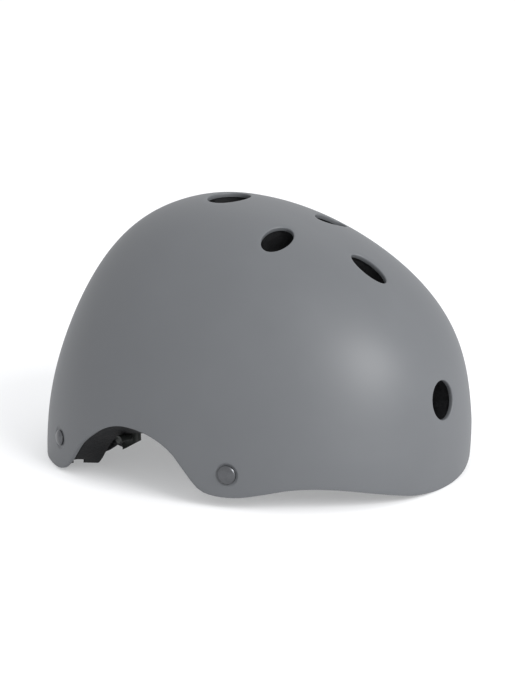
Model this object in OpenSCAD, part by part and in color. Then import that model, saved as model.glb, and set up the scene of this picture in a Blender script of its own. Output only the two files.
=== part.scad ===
// Bicycle and skate helmet: round hard shell, foam liner, pads, webbing and nape adjuster.
// Front is +X, up is +Z, the wearer's left is +Y. The rim stands on Z = 0.

/* [Shell] */
// Reach of the dome ahead of the helmet's centre
dome_front = 136.5; // [125:0.5:150]
// Reach of the dome behind the helmet's centre
dome_rear = 137; // [125:0.5:150]
// Half width of the dome
dome_half = 107; // [98:0.5:116]
// Height of the crown above the dome's base line
dome_h = 157; // [148:0.5:170]
// Distance from the centre back to the highest point
crown_back = 18; // [8:1:26]
// Forward lean of the dome as it stands on its rim, in degrees
lean_angle = 2.6; // [0:0.1:5]
// Thickness of the moulded shell
shell_t = 2.5; // [2:0.1:3.5]

/* [Vents] */
// Length of a vent
vent_long = 23.5; // [16:0.5:26]
// Width of a vent
vent_wide = 18.5; // [12:0.5:21]
// Width of the dished edge around a vent
vent_dish = 2.4; // [1:0.1:4]

/* [Liner and pads] */
// Thickness of the foam liner
liner_t = 19; // [16:0.5:20]
// Thickness of a comfort pad at its crown
pad_t = 6.5; // [4:0.5:7]
// Thickness of a hook patch
patch_t = 1; // [0.8:0.1:1.4]
// Gap between pieces that are seated on each other
seat_gap = 0.3; // [0.25:0.05:0.35]

/* [Rivets and anchors] */
// Radius of a rivet head
rivet_r = 5.7; // [4.5:0.1:7]
// Radius of a rivet shank
shank_r = 2.4; // [1.8:0.1:2.8]
// Thickness of a strap anchor plate
anchor_t = 1.8; // [1.4:0.1:2.2]
// Thickness of a rivet washer
washer_t = 1.2; // [0.8:0.1:1.4]

/* [Webbing] */
// Width of the webbing
web_w = 15; // [12:0.5:16]
// Thickness of the webbing
web_t = 1.4; // [1:0.1:1.6]

/* [Strap divider] */
// Length of a divider along the wall
divider_w = 42; // [40:1:46]
// Height of a divider
divider_h = 24; // [22:1:26]
// Thickness of a divider
divider_t = 5; // [4.5:0.1:6]
// Radius of the cam lever's pin
cam_pin_r = 1; // [0.8:0.1:1.2]

/* [Buckle] */
// Width of the buckle
buckle_w = 30; // [28:0.5:32]
// Thickness of the buckle socket
buckle_t = 11; // [10.5:0.1:12]
// Length of the buckle socket
socket_l = 38; // [37:0.5:42]
// Height of the buckle above the ground
buckle_z = 53; // [51:0.5:55]

/* [Nape adjuster] */
// Distance of the racks behind the helmet's centre
rack_back = 97; // [94:0.5:98]
// Height of the dial's axis above the ground
dial_z = 24; // [23:0.5:27]
// Radius of the dial knob
dial_r = 14; // [12:0.5:15]
// Length of the dial knob
dial_l = 9; // [7:0.5:10]
// Tooth module of the pinion and racks
tooth_m = 1; // [0.9:0.05:1.1]
// Teeth on the pinion
pinion_n = 10; // [10:1:12]
// Thickness of a rack
rack_t = 3.2; // [2.6:0.1:3.6]
// Height of a fit band
band_h = 12; // [9:0.5:13]
// Thickness of a fit band
band_t = 1.6; // [1.2:0.1:1.8]

/* [Hidden] */

// Colours
shell_grey = [0.47, 0.48, 0.5];
foam_black = [0.1, 0.1, 0.11];
pad_black = [0.14, 0.14, 0.15];
plastic_black = [0.08, 0.08, 0.09];
plastic_grey = [0.45, 0.47, 0.44];
steel = [0.72, 0.72, 0.74];
web_black = [0.12, 0.12, 0.13];

// Fineness of the round pieces and of the dome's grid
$fn = 40;
dome_rings = 13;
side_angles = concat([for (t = [0 : 6 : 60]) t], [for (t = [63 : 3 : 120]) t],
                     [for (t = [126 : 6 : 174]) t]);
grid_angles = concat(side_angles, [180], [for (i = [len(side_angles) - 1 : -1 : 1]) -side_angles[i]]);

// Levels at which the dome's outline stands upright: front, rear and side
front_mid = 29.7;
rear_mid = -8.7;
side_mid = 16.4;
// Fullness and swell of the three outlines, and how far they draw in below those levels
front_form = [1.6, 0.11, 0.04];
rear_form = [2.97, -0.1, 0.02];
side_form = [2.18, -0.02, 0.02];
// Squareness of the plan ahead of and behind the crown
plan_front = 2.2;
plan_rear = 2.17;

// Lower edge of the shell: longitude from the front, height above the base line
rim_keys = [
  [0, 4], [12, 5.8], [20, 9], [28, 12.3], [36, 15], [44, 16], [51, 14.6], [58, 10.6],
  [64, 7.4], [70, 7], [73.5, 10], [77, 19.5], [80, 28], [84, 34.2], [89, 37.5],
  [94, 36.6], [99, 32.3], [103.5, 26], [108, 18.4], [111, 10.8], [114, 3.4],
  [118, -3], [123, -5.6], [130, -6.6], [140, -7.4], [152, -3.5], [165, 10], [180, 18]
];
// Lift of the liner's edge above the shell's, and how far its inner edge hangs in the ear arch
liner_lift = 1.6;
arch_mid = 92;
arch_half = 24;
arch_hang = 12;
// Longitude within which the liner is cut away above the dial
nape_half = 26;
nape_lift = 19;

// Vents: elevation towards the crown, longitude, turn of the long axis from the meridian
centre_vents = [[21.6, 0, 0], [54.5, 0, 0], [86, 180, 0], [60, 180, 0], [20, 180, 0]];
side_vents = [[67.5, 37.7, 84], [44, 163, 0], [22, 158, 0]];

// Rivets: height above the base line and longitude, and depth of the dish under a head
front_rivet = [21, 66.4];
rear_rivet = [14.4, 121.4];
dish_floor = 0.6;

// Depths of the layers below the shell's outer face
liner_d = shell_t + seat_gap;
patch_d = liner_d + liner_t + 2 * seat_gap;
pad_d = patch_d + patch_t + seat_gap;
web_d = pad_d + pad_t + seat_gap + web_t / 2 + 0.4;
anchor_d = shell_t + 1;
divider_d = web_d + web_t / 2 - divider_t / 2 + 2.8;

// Pads: longitude from and to, height from and to
front_pad_area = [-19, 19, 18, 44];
temple_pad_area = [31, 57, 24, 54];
side_pad_area = [74, 106, 31, 68];
crown_pad_area = [58, 122, 94, 124];
rear_pad_area = [126, 150, 44, 72];

// Divider: height above the base line and longitude
divider_at = [46, 90];
divider_corner = 4;
ear_t = 2;
ear_x = web_w / 2 + 1.6;
cam_y = -divider_h / 2 + 5;
cam_z = divider_t + 2.4;
cam_r = 2.1;
running = 0.1;

// Buckle
socket_y = -socket_l + 4;
cavity_w = buckle_w - 6;
cavity_t = 5.4;
plug_t = 5;

// Nape adjuster
pitch_r = tooth_m * pinion_n / 2;
addendum = 0.8 * tooth_m;
dedendum = tooth_m;
tip_r = pitch_r + addendum;
root_r = pitch_r - dedendum;
pressure = 25;
backlash = 0.16;
shaft_r = 2.5;
channel_gap = 0.2;
cradle_wall = 1.8;
rack_half = rack_t / 2;
rack_depth = dedendum + 1.9;
channel_h = pitch_r + rack_depth + channel_gap;
cradle_half = 24;
rack_out = 44;
rack_in = 9;
rack_end = 7.5;
toothed = 32;
anchor_l = 12;
// Room between the liner and a fit band, the band's level above the base line, and its longitudes
band_room = 3.7;
band_level = 18.5;
band_turns = [142, 136, 128.6, 121, 114, 108.4];
anchor_turn = 100;

function unit(v) = v / norm(v);
function clamp01(v) = min(1, max(0, v));
function sgn_pow(v, p) = sign(v) * pow(abs(v), p);
function wrapped(t) = t > 180 ? t - 360 : t < -180 ? t + 360 : t;
function window(t, mid, half) = let(a = abs(t - mid) / half) a >= 1 ? 0 : pow(cos(90 * a), 2);

// Smooth curve through a list of [position, value] keys, level at both ends
function key_slope(k, i) = i <= 0 || i >= len(k) - 1 ? 0
  : (k[i + 1][1] - k[i - 1][1]) / (k[i + 1][0] - k[i - 1][0]);
function key_curve(k, a, i) = let(
    w = k[i + 1][0] - k[i][0],
    f = (a - k[i][0]) / w
  ) k[i][1] * (1 - 3 * f * f + 2 * f * f * f) + k[i + 1][1] * (3 * f * f - 2 * f * f * f)
  + key_slope(k, i) * w * (f - 2 * f * f + f * f * f)
  + key_slope(k, i + 1) * w * (f * f * f - f * f);
function key_span(k, a, i) = i >= len(k) - 2 || a < k[i + 1][0] ? i : key_span(k, a, i + 1);
function rim(t) = let(a = abs(wrapped(t))) key_curve(rim_keys, a, key_span(rim_keys, a, 0));

// Distance of the dome's wall from its axis at height h, for an inner face at depth d
function reach(r, mid, form, h, d) = let(
    up = clamp01((h - mid) / (dome_h - d - mid)),
    low = max(0, mid - h) / 60
  ) (r - d) * sqrt(max(0, 1 - pow(up, form[0]))) * (1 + form[1] * 6.75 * up * up * (1 - up))
  * (1 - form[2] * low * low);

// Point of the dome at height h, longitude t and depth d, before it leans forward
function upright(h, t, d) = let(
    c = cos(t),
    q = 2 / (c >= 0 ? plan_front : plan_rear),
    rx = c >= 0 ? reach(dome_front + crown_back, front_mid, front_form, h, d)
                : reach(dome_rear - crown_back, rear_mid, rear_form, h, d),
    ry = reach(dome_half, side_mid, side_form, h, d)
  ) [rx * sgn_pow(c, q) - crown_back, ry * sgn_pow(sin(t), q), h];
function leant(p) = [p[0] * cos(lean_angle) + p[2] * sin(lean_angle), p[1],
                     p[2] * cos(lean_angle) - p[0] * sin(lean_angle)];

// The helmet is centred over the origin and its lowest edge stands on the ground
edge_points = [for (t = grid_angles) for (d = [0, shell_t]) leant(upright(rim(t), t, d))];
wall_points = [for (t = grid_angles) for (i = [0 : dome_rings - 1])
  leant(upright(ring_h(rim(t), i, dome_rings, 0), t, 0))];
shift_x = -(max([for (p = wall_points) p[0]]) + min([for (p = wall_points) p[0]])) / 2;
shift_z = -min([for (p = edge_points) p[2]]);
function dome(h, t, d) = leant(upright(h, t, d)) + [shift_x, 0, shift_z];
buckle_x = dome(divider_at[0], divider_at[1], divider_d)[0];
function band_spot(t) = dome(band_level, t, liner_d + liner_t + band_room);
anchor_x = band_spot(anchor_turn)[0];
anchor_y = band_spot(anchor_turn)[1];

// Directions on the dome: forwards along the wall, up the wall and inwards
function ahead(h, t, d) = unit(dome(h, t - 1, d) - dome(h, t + 1, d));
function inward(h, t, d) = unit(cross(ahead(h, t, d), dome(h + 0.3, t, d) - dome(h - 0.3, t, d)));
function upward(h, t, d) = cross(inward(h, t, d), ahead(h, t, d));

// Point and direction in the divider's own frame
function at_divider_point(v) = let(h = divider_at[0], t = divider_at[1], d = divider_d)
  dome(h, t, d) + v[0] * ahead(h, t, d) + v[1] * upward(h, t, d) + v[2] * inward(h, t, d);
function divider_dir(v) = at_divider_point(v) - at_divider_point([0, 0, 0]);

// Places a child at a point of the dome: x ahead, y up the wall, z inwards
module on_wall(h, t, d = 0) {
  p = dome(h, t, d);
  x = ahead(h, t, d);
  y = upward(h, t, d);
  z = inward(h, t, d);
  multmatrix([[x[0], y[0], z[0], p[0]], [x[1], y[1], z[1], p[1]], [x[2], y[2], z[2], p[2]], [0, 0, 0, 1]])
    children();
}
module both_sides() {
  children();
  mirror([0, 1, 0]) children();
}
module left_side() { children(); }
module right_side() { mirror([0, 1, 0]) children(); }

// Height of ring i of n, from an edge at height e up to the crown at depth d
function ring_h(e, i, n, d) = e + (dome_h - d - e) * sin(90 * i / n);
function ring_faces(a, b, m) = [for (j = [0 : m - 1]) let(k = (j + 1) % m)
  for (f = [[a + j, a + k, b + k], [a + j, b + k, b + j]]) f];

// Closed wall between two depths, with edge heights for its outer and inner faces
module dome_wall(d_out, d_in, outer_edge, inner_edge) {
  m = len(grid_angles);
  n = dome_rings;
  outer = [for (i = [0 : n - 1]) for (j = [0 : m - 1])
    dome(ring_h(outer_edge[j], i, n, d_out), grid_angles[j], d_out)];
  inner = [for (i = [0 : n - 1]) for (j = [0 : m - 1])
    dome(ring_h(inner_edge[j], i, n, d_in), grid_angles[j], d_in)];
  points = concat(outer, inner, [dome(dome_h - d_out, 0, d_out), dome(dome_h - d_in, 0, d_in)]);
  top = 2 * n * m;
  outer_faces = [for (i = [0 : n - 2]) for (f = ring_faces(i * m, (i + 1) * m, m)) [f[2], f[1], f[0]]];
  inner_faces = [for (i = [0 : n - 2]) for (f = ring_faces((n + i) * m, (n + i + 1) * m, m)) f];
  outer_cap = [for (j = [0 : m - 1]) [(n - 1) * m + (j + 1) % m, (n - 1) * m + j, top]];
  inner_cap = [for (j = [0 : m - 1]) [(2 * n - 1) * m + j, (2 * n - 1) * m + (j + 1) % m, top + 1]];
  edge = ring_faces(0, n * m, m);
  polyhedron(points, concat(outer_faces, inner_faces, outer_cap, inner_cap, edge), convexity = 8);
}

// Every vent in turn, at its place on the wall
module each_vent() {
  for (v = centre_vents)
    on_wall(dome_h * sin(v[0]), v[1]) rotate(v[2]) children();
  both_sides()
    for (v = side_vents)
      on_wall(dome_h * sin(v[0]), v[1]) rotate(v[2]) children();
}
// Elliptical disc across the vent's axis, long along the meridian
module vent_disc(z, grow) {
  translate([0, 0, z])
    scale([vent_wide / 2 + grow, vent_long / 2 + grow, 1])
      cylinder(r = 1, h = 0.01, $fn = 32);
}
module vent_cutter(depth, grow) {
  hull() {
    vent_disc(-3, grow);
    vent_disc(depth, grow);
  }
}
module vent_bevel() {
  hull() {
    vent_disc(-vent_dish, 2 * vent_dish);
    vent_disc(shell_t - 0.6, 0);
  }
}

module rivet_seat() {
  translate([0, 0, -4]) cylinder(r = shank_r + seat_gap, h = 12, $fn = 24);
  translate([0, 0, dish_floor - 2]) cylinder(r1 = rivet_r + 5, r2 = rivet_r + seat_gap, h = 2);
}
module each_rivet() {
  both_sides() {
    on_wall(front_rivet[0], front_rivet[1]) children();
    on_wall(rear_rivet[0], rear_rivet[1]) children();
  }
}

module outer_shell() {
  edge = [for (t = grid_angles) rim(t)];
  color(shell_grey)
    difference() {
      dome_wall(0, shell_t, edge, edge);
      each_vent() vent_cutter(12, 0);
      each_vent() vent_bevel();
      each_rivet() rivet_seat();
    }
}

// Notch that lets a strap pass under the liner, with the pocket for its anchor
module strap_notch(top) {
  translate([-web_w / 2 - 2, -60, -2]) cube([web_w + 4, 60 + top, 45]);
  translate([-13, -60, -2]) cube([26, 60 + 11, 14]);
}
module foam_liner() {
  outer_edge = [for (t = grid_angles) rim(t) + liner_lift + nape_lift * window(abs(t), 180, nape_half)];
  inner_edge = [for (t = grid_angles) rim(t) + liner_lift + nape_lift * window(abs(t), 180, nape_half)
    - arch_hang * window(abs(t), arch_mid, arch_half)];
  color(foam_black)
    difference() {
      dome_wall(liner_d, liner_d + liner_t, outer_edge, inner_edge);
      each_vent() vent_cutter(45, 1);
      both_sides() {
        on_wall(front_rivet[0], front_rivet[1]) strap_notch(-3);
        on_wall(rear_rivet[0], rear_rivet[1]) strap_notch(-4);
        band_pin(seat_gap);
      }
    }
}

// Point of a rounded rectangle at angle a and scale r, for a cushion's plan
function plan_at(a, r) = let(k = pow(pow(abs(cos(a)), 4) + pow(abs(sin(a)), 4), -0.25))
  [r * k * cos(a), r * k * sin(a)];
pad_scales = [0.4, 0.75, 1];
pad_steps = 20;
// Share of the thickness at each scale: full in the middle, drawn in at the edge
function pad_share(r) = 0.42 + 0.58 * sqrt(max(0, 1 - pow(r, 5)));
// Cushion on the liner's inner face over an area of longitude and height
module wall_cushion(area, d, thick, scales, steps, flat = false) {
  tm = (area[0] + area[1]) / 2;
  tw = (area[1] - area[0]) / 2;
  hm = (area[2] + area[3]) / 2;
  hw = (area[3] - area[2]) / 2;
  back = [for (r = scales) for (j = [0 : steps - 1]) let(q = plan_at(360 * j / steps, r))
    dome(hm + hw * q[1], tm + tw * q[0], d)];
  face = [for (r = scales) for (j = [0 : steps - 1]) let(q = plan_at(360 * j / steps, r))
    dome(hm + hw * q[1], tm + tw * q[0], d + thick * (flat ? 1 : pad_share(r)))];
  n = len(scales);
  half = n * steps;
  ends = [dome(hm, tm, d), dome(hm, tm, d + thick)];
  rings = [for (i = [0 : n - 2]) for (f = ring_faces(i * steps, (i + 1) * steps, steps)) f];
  face_rings = [for (f = rings) [f[2] + half, f[1] + half, f[0] + half]];
  fan = [for (j = [0 : steps - 1]) [(j + 1) % steps, j, 2 * half]];
  face_fan = [for (j = [0 : steps - 1]) [half + j, half + (j + 1) % steps, 2 * half + 1]];
  side = [for (f = ring_faces((n - 1) * steps, half + (n - 1) * steps, steps)) f];
  polyhedron(concat(back, face, ends), concat(rings, face_rings, fan, face_fan, side), convexity = 6);
}
module comfort_pad(area) {
  color(pad_black) wall_cushion(area, pad_d, pad_t, pad_scales, pad_steps);
}
function middle_of(area, share) = let(
    t = (area[0] + area[1]) / 2,
    h = (area[2] + area[3]) / 2,
    a = (area[1] - area[0]) / 2 * share,
    b = (area[3] - area[2]) / 2 * share
  ) [t - a, t + a, h - b, h + b];
module hook_patch(area) {
  wall_cushion(middle_of(area, 0.55), patch_d, patch_t, [0.6, 1], 12, true);
}
module hook_patches() {
  color(plastic_black) {
    hook_patch(front_pad_area);
    both_sides()
      for (area = [temple_pad_area, side_pad_area, crown_pad_area, rear_pad_area])
        hook_patch(area);
  }
}

// Rivet along +Z from outside to inside, its head's underside in the shell's dish
head_seat = dish_floor - 0.05;
washer_d = anchor_d + anchor_t + seat_gap;
tail_d = washer_d + washer_t + seat_gap;
module rivet() {
  color(steel)
    translate([0, 0, head_seat])
      rotate_extrude()
        polygon(concat(
          [[0, tail_d + 1.6 - head_seat], [shank_r + 1.2, tail_d + 1.6 - head_seat],
           [shank_r + 1.6, tail_d + 0.9 - head_seat], [shank_r + 1.6, tail_d - head_seat],
           [shank_r, tail_d - head_seat], [shank_r, 0], [rivet_r, 0]],
          [for (a = [0 : 15 : 75]) [rivet_r * cos(a), -0.5 - 1.9 * sin(a)]],
          [[0, -2.4]]));
}
module front_rivets() { both_sides() on_wall(front_rivet[0], front_rivet[1]) rivet(); }
module rear_rivets() { both_sides() on_wall(rear_rivet[0], rear_rivet[1]) rivet(); }
module rivet_washers() {
  color(steel)
    each_rivet()
      translate([0, 0, washer_d])
        difference() {
          cylinder(r = rivet_r - 0.2, h = washer_t);
          translate([0, 0, -1]) cylinder(r = shank_r + running, h = washer_t + 2);
        }
}

// Anchor plate with the rivet's hole above and the webbing's slot below
anchor_w = web_w + 6;
slot_low = -11;
slot_high = -8;
module anchor_plate() {
  color(plastic_black)
    translate([0, 0, anchor_d])
      difference() {
        linear_extrude(anchor_t) {
          translate([-anchor_w / 2, slot_low - 2.5]) square([anchor_w, 9]);
          translate([-rivet_r, slot_low]) square([2 * rivet_r, -slot_low]);
          circle(r = rivet_r + 1);
        }
        translate([0, 0, -1]) cylinder(r = shank_r + running, h = anchor_t + 2);
        translate([-web_w / 2 - 0.5, slot_low, -1]) cube([web_w + 1, slot_high - slot_low, anchor_t + 2]);
      }
}
module front_anchors() { both_sides() on_wall(front_rivet[0], front_rivet[1]) anchor_plate(); }
module rear_anchors() { both_sides() on_wall(rear_rivet[0], rear_rivet[1]) anchor_plate(); }

// Flat webbing along points, each with the direction of its width
function path_dir(p, i) = unit(p[min(i + 1, len(p) - 1)] - p[max(i - 1, 0)]);
module ribbon(points, widths, w, t) {
  n = len(points);
  corners = [for (i = [0 : n - 1]) let(
      dir = path_dir(points, i),
      across = unit(widths[i] - (widths[i] * dir) * dir),
      up = cross(dir, across)
    ) for (c = [[-1, -1], [1, -1], [1, 1], [-1, 1]]) points[i] + across * c[0] * w / 2 + up * c[1] * t / 2];
  sides = [for (i = [0 : n - 2]) for (f = ring_faces(4 * i, 4 * i + 4, 4)) f];
  polyhedron(corners, concat([[0, 1, 2], [0, 2, 3]], [for (f = sides) [f[2], f[1], f[0]]],
    [[4 * n - 1, 4 * n - 2, 4 * n - 3], [4 * n - 1, 4 * n - 3, 4 * n - 4]]), convexity = 6);
}
// Route on the wall: height, longitude, depth and turn of the width from ahead to up
function route_points(route) = [for (r = route) dome(r[0], r[1], r[2])];
function route_widths(route) = [for (r = route)
  cos(r[3]) * ahead(r[0], r[1], r[2]) + sin(r[3]) * upward(r[0], r[1], r[2])];
// Depth at which the webbing lies in its anchor's pocket, and its way up the pads
hang_d = anchor_d + anchor_t + seat_gap + web_t / 2 + 0.2;
front_route = [
  [13.5, 66.4, hang_d, 0], [11.5, 66, hang_d + 2.5, 0], [10.6, 65, hang_d + 8, 0],
  [11, 64.6, 22, 0], [13.5, 65.4, 28, 4], [19.5, 67.8, web_d + 0.6, 12], [27, 71.6, web_d + 1.6, 26]
];
rear_route = [
  [6.5, 121.4, hang_d, 0], [4.5, 121.4, hang_d + 2.5, 0], [4, 121.4, hang_d + 8, 0],
  [4.5, 121.2, 22, 0], [7.5, 120.6, 28, -4], [14, 118, web_d + 0.8, -12], [23, 112.6, web_d + 1.6, -22]
];
// Slot of a side strap in the divider: turn of the strap and the middle of its mouth
front_slot = [138, 22.5, -8];
rear_slot = [34, -22.5, -8];
function slot_point(s, along) =
  at_divider_point([s[1] + along * cos(s[0]), s[2] + along * sin(s[0]), divider_t / 2]);
function slot_width(s, flip) = divider_dir([-flip * sin(s[0]), flip * cos(s[0]), 0]);
module side_webbing(route, s, flip) {
  points = concat(route_points(route), [for (a = [-12, -6, 0, 6]) slot_point(s, a)]);
  widths = concat(route_widths(route), [for (a = [0 : 3]) slot_width(s, flip)]);
  color(web_black) ribbon(points, widths, web_w, web_t);
}
module front_strap() { side_webbing(front_route, front_slot, -1); }
module rear_strap() { side_webbing(rear_route, rear_slot, -1); }

// Divider frame: the two side straps enter low on its ends, the chin strap on top
module web_slot(s) {
  translate([s[1], s[2], divider_t / 2])
    rotate(s[0])
      translate([-9, -web_w / 2 - 0.9, -web_t / 2 - 0.4])
        cube([18, web_w + 1.8, web_t + 0.8]);
}
module pin_bore(r) {
  translate([-divider_w / 2, cam_y, cam_z]) rotate([0, 90, 0]) cylinder(r = r, h = divider_w);
}
module divider() {
  root = 0.5;
  color(plastic_black)
    difference() {
      union() {
        linear_extrude(divider_t)
          rounded_plan(divider_w, -divider_h / 2, divider_h / 2, divider_corner);
        for (x = [-1, 1])
          translate([x * (ear_x + ear_t / 2) - ear_t / 2, 0, 0]) {
            translate([0, cam_y, cam_z]) rotate([0, 90, 0]) cylinder(r = cam_r, h = ear_t);
            translate([0, cam_y - cam_r, divider_t - root]) cube([ear_t, 2 * cam_r, cam_z - divider_t + root]);
          }
      }
      pin_bore(cam_pin_r + running / 2);
      web_slot(front_slot);
      web_slot(rear_slot);
      web_slot([90, 0, divider_h / 2]);
    }
}
module cam_lever() {
  lever_w = 2 * ear_x - 0.8;
  lever_l = divider_h - 9;
  below = 1.6;
  above = 1;
  margin = 2;
  rib = [lever_w - 2 * margin, 0.9, 0.6];
  rib_pitch = 2.4;
  color(plastic_black)
    difference() {
      union() {
        translate([-lever_w / 2, cam_y, cam_z]) rotate([0, 90, 0]) cylinder(r = cam_r, h = lever_w);
        translate([-lever_w / 2, cam_y, cam_z - below]) cube([lever_w, lever_l, below + above]);
        translate([-lever_w / 2 + margin, cam_y + lever_l, cam_z - below + above])
          cube([lever_w - 2 * margin, 2, below]);
        for (k = [0 : 3])
          translate([-rib[0] / 2, cam_y + 6 + rib_pitch * k, cam_z + above]) cube(rib);
      }
      pin_bore(cam_pin_r + running);
    }
}
module cam_pin() {
  half = ear_x + ear_t - 0.1;
  color(steel)
    translate([-half, cam_y, cam_z]) rotate([0, 90, 0]) cylinder(r = cam_pin_r, h = 2 * half);
}
module at_divider() { on_wall(divider_at[0], divider_at[1], divider_d) children(); }
module cam_pins() { both_sides() at_divider() cam_pin(); }

// Chin webbing, in the plane across the helmet: distance from the middle, height
divider_top = at_divider_point([0, 6, divider_t / 2]);
divider_mouth = at_divider_point([0, 13.5, divider_t / 2]);
divider_exit = at_divider_point([0, 17, divider_t / 2]);
function across_points(route) = [for (r = route) [buckle_x, r[0], buckle_z + r[1]]];
module across_webbing(route) {
  widths = [for (r = route) [1, 0, 0]];
  color(web_black) ribbon(across_points(route), widths, web_w, web_t);
}
over_top = [
  [divider_top[1], divider_top[2] - buckle_z], [divider_mouth[1], divider_mouth[2] - buckle_z],
  [divider_exit[1], divider_exit[2] - buckle_z], [64.2, 16.4], [61.4, 18.8], [57.4, 19.4], [53.6, 16.6], [49, 11.6]
];
socket_route = concat(over_top, [[44, 7.6], [39, 5.2], [36, 4.5], [33, 4.4], [30.2, 4.2], [28.2, 2.6], [27.6, 0], [27.6, -2.4]]);
plug_route = concat(over_top, [
  [43, 7.6], [27, 4.2], [21, 3.9], [18.2, 3], [17, 0.4], [16.7, -2.2], [15, -3.5], [12, -3.5],
  [10.4, -2.2], [10, 0.6], [10.1, 3.4], [11.6, 5], [15, 5.9], [21, 6.6], [27, 7], [43, 10.4]
]);
module chin_strap_left() { across_webbing(plug_route); }
module chin_strap_right() { mirror([0, 1, 0]) across_webbing(socket_route); }

// Rounded bar of the buckle seen from above, x across and y along
module rounded_plan(w, y0, y1, r) {
  translate([-w / 2 + r, y0]) square([w - 2 * r, y1 - y0]);
  translate([-w / 2, y0 + r]) square([w, y1 - y0 - 2 * r]);
  for (x = [-1, 1], y = [y0 + r, y1 - r])
    translate([x * (w / 2 - r), y]) circle(r = r);
}
module at_buckle() { translate([buckle_x, 0, buckle_z]) children(); }
module buckle_socket() {
  mouth = socket_y + socket_l;
  color(plastic_black)
    at_buckle()
      difference() {
        translate([0, 0, -buckle_t / 2])
          linear_extrude(buckle_t) rounded_plan(buckle_w, socket_y, mouth, 4);
        translate([-cavity_w / 2, mouth - 24, -cavity_t / 2]) cube([cavity_w, 30, cavity_t]);
        translate([-buckle_w / 2 - 1, mouth - 20, -cavity_t / 2]) cube([buckle_w + 2, 13, cavity_t]);
        translate([-web_w / 2 - 0.6, socket_y + 4, -10]) cube([web_w + 1.2, 4.5, 20]);
        translate([-buckle_w / 2 - 1, socket_y - 1, 2.8]) cube([buckle_w + 2, 10, 6]);
        translate([-buckle_w / 2 - 1, socket_y - 1, -8.8]) cube([buckle_w + 2, 10, 6]);
      }
}
prong_in = 7.6;
prong_out = cavity_w / 2 - 0.4;
module buckle_plug() {
  color(plastic_black)
    at_buckle() {
      difference() {
        translate([0, 0, -plug_t / 2])
          linear_extrude(plug_t) rounded_plan(buckle_w - 1, 4.3, 23.4, 2);
        for (y = [8.2, 15.2])
          translate([-web_w / 2 - 0.6, y, -5]) cube([web_w + 1.2, 3.8, 10]);
      }
      translate([-2, -15, -1.6]) cube([4, 19.8, 3.2]);
    }
}
module buckle_prong() {
  translate([0, 0, -plug_t / 2 + 0.2])
    linear_extrude(plug_t - 0.4)
      polygon([
        [prong_in, 4.3], [prong_in + 2.4, 4.3], [prong_in + 2.4, -2.6], [buckle_w / 2 - 0.6, -4.2],
        [buckle_w / 2 - 0.4, -9], [prong_out, -15.6], [prong_out - 2, -18.4], [prong_in + 1, -18.4],
        [prong_in, -14]
      ]);
}
module buckle_prongs() {
  color(plastic_black)
    at_buckle() {
      buckle_prong();
      mirror([1, 0, 0]) buckle_prong();
    }
}

// Keeper: a loop round the strap and its folded tail, square to them
keeper_slope = atan(3.4 / 16);
keeper_at = [32, 6.66];
module strap_keeper() {
  inner_w = web_w + 1;
  inner_t = 2 * web_t + 2.2;
  color(plastic_black)
    translate([buckle_x, keeper_at[0], buckle_z + keeper_at[1]])
      rotate([keeper_slope, 0, 0])
        difference() {
          translate([-inner_w / 2 - 1.4, -3, -inner_t / 2 - 1.2]) cube([inner_w + 2.8, 6, inner_t + 2.4]);
          translate([-inner_w / 2, -5, -inner_t / 2]) cube([inner_w, 10, inner_t]);
        }
}

// Nape adjuster, built about the dial's axis: x forwards, y across, z up
module at_dial() { translate([-rack_back, 0, dial_z]) children(); }
module along_x(x, h) { translate([x, 0, 0]) rotate([90, 0, 90]) linear_extrude(h) children(); }
cradle_back = -rack_half - channel_gap - cradle_wall;
cradle_front = rack_half + channel_gap;
module cradle_outline() {
  half_h = channel_h + cradle_wall;
  square([2 * cradle_half, 2 * half_h], center = true);
  for (x = [-1, 1]) translate([x * cradle_half, 0]) circle(r = half_h - 3);
  translate([-12, 0]) square([24, half_h + 4]);
  for (x = [-1, 1]) translate([x * 9, half_h]) circle(r = 4);
}
module nape_cradle() {
  color(plastic_black)
    at_dial()
      difference() {
        along_x(cradle_back, cradle_front - cradle_back) cradle_outline();
        translate([-rack_half - channel_gap, -50, -channel_h]) cube([20, 100, 2 * channel_h]);
        translate([-10, 0, 0]) rotate([0, 90, 0]) cylinder(r = shaft_r + running, h = 20);
      }
}
module cradle_cover() {
  color(plastic_black)
    at_dial() along_x(cradle_front, cradle_wall) cradle_outline();
}
module cradle_pad() {
  front = cradle_front + cradle_wall + seat_gap;
  steps = 24;
  scales = [0.5, 0.8, 1];
  half = [cradle_half + 4, channel_h + 4];
  back = [for (r = scales) for (j = [0 : steps - 1]) let(q = plan_at(360 * j / steps, r))
    [front, half[0] * q[0], half[1] * q[1]]];
  face = [for (p = [for (r = scales) for (j = [0 : steps - 1]) [plan_at(360 * j / steps, r), r]])
    [front + 5 * pad_share(p[1]), half[0] * p[0][0], half[1] * p[0][1]]];
  n = len(scales);
  count = n * steps;
  rings = [for (i = [0 : n - 2]) for (f = ring_faces(i * steps, (i + 1) * steps, steps)) f];
  face_rings = [for (f = rings) [f[2] + count, f[1] + count, f[0] + count]];
  fan = [for (j = [0 : steps - 1]) [(j + 1) % steps, j, 2 * count]];
  face_fan = [for (j = [0 : steps - 1]) [count + j, count + (j + 1) % steps, 2 * count + 1]];
  side = ring_faces((n - 1) * steps, count + (n - 1) * steps, steps);
  color(pad_black)
    at_dial()
      polyhedron(concat(back, face, [[front, 0, 0], [front + 5, 0, 0]]),
        concat(rings, face_rings, fan, face_fan, side), convexity = 4);
}

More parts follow.
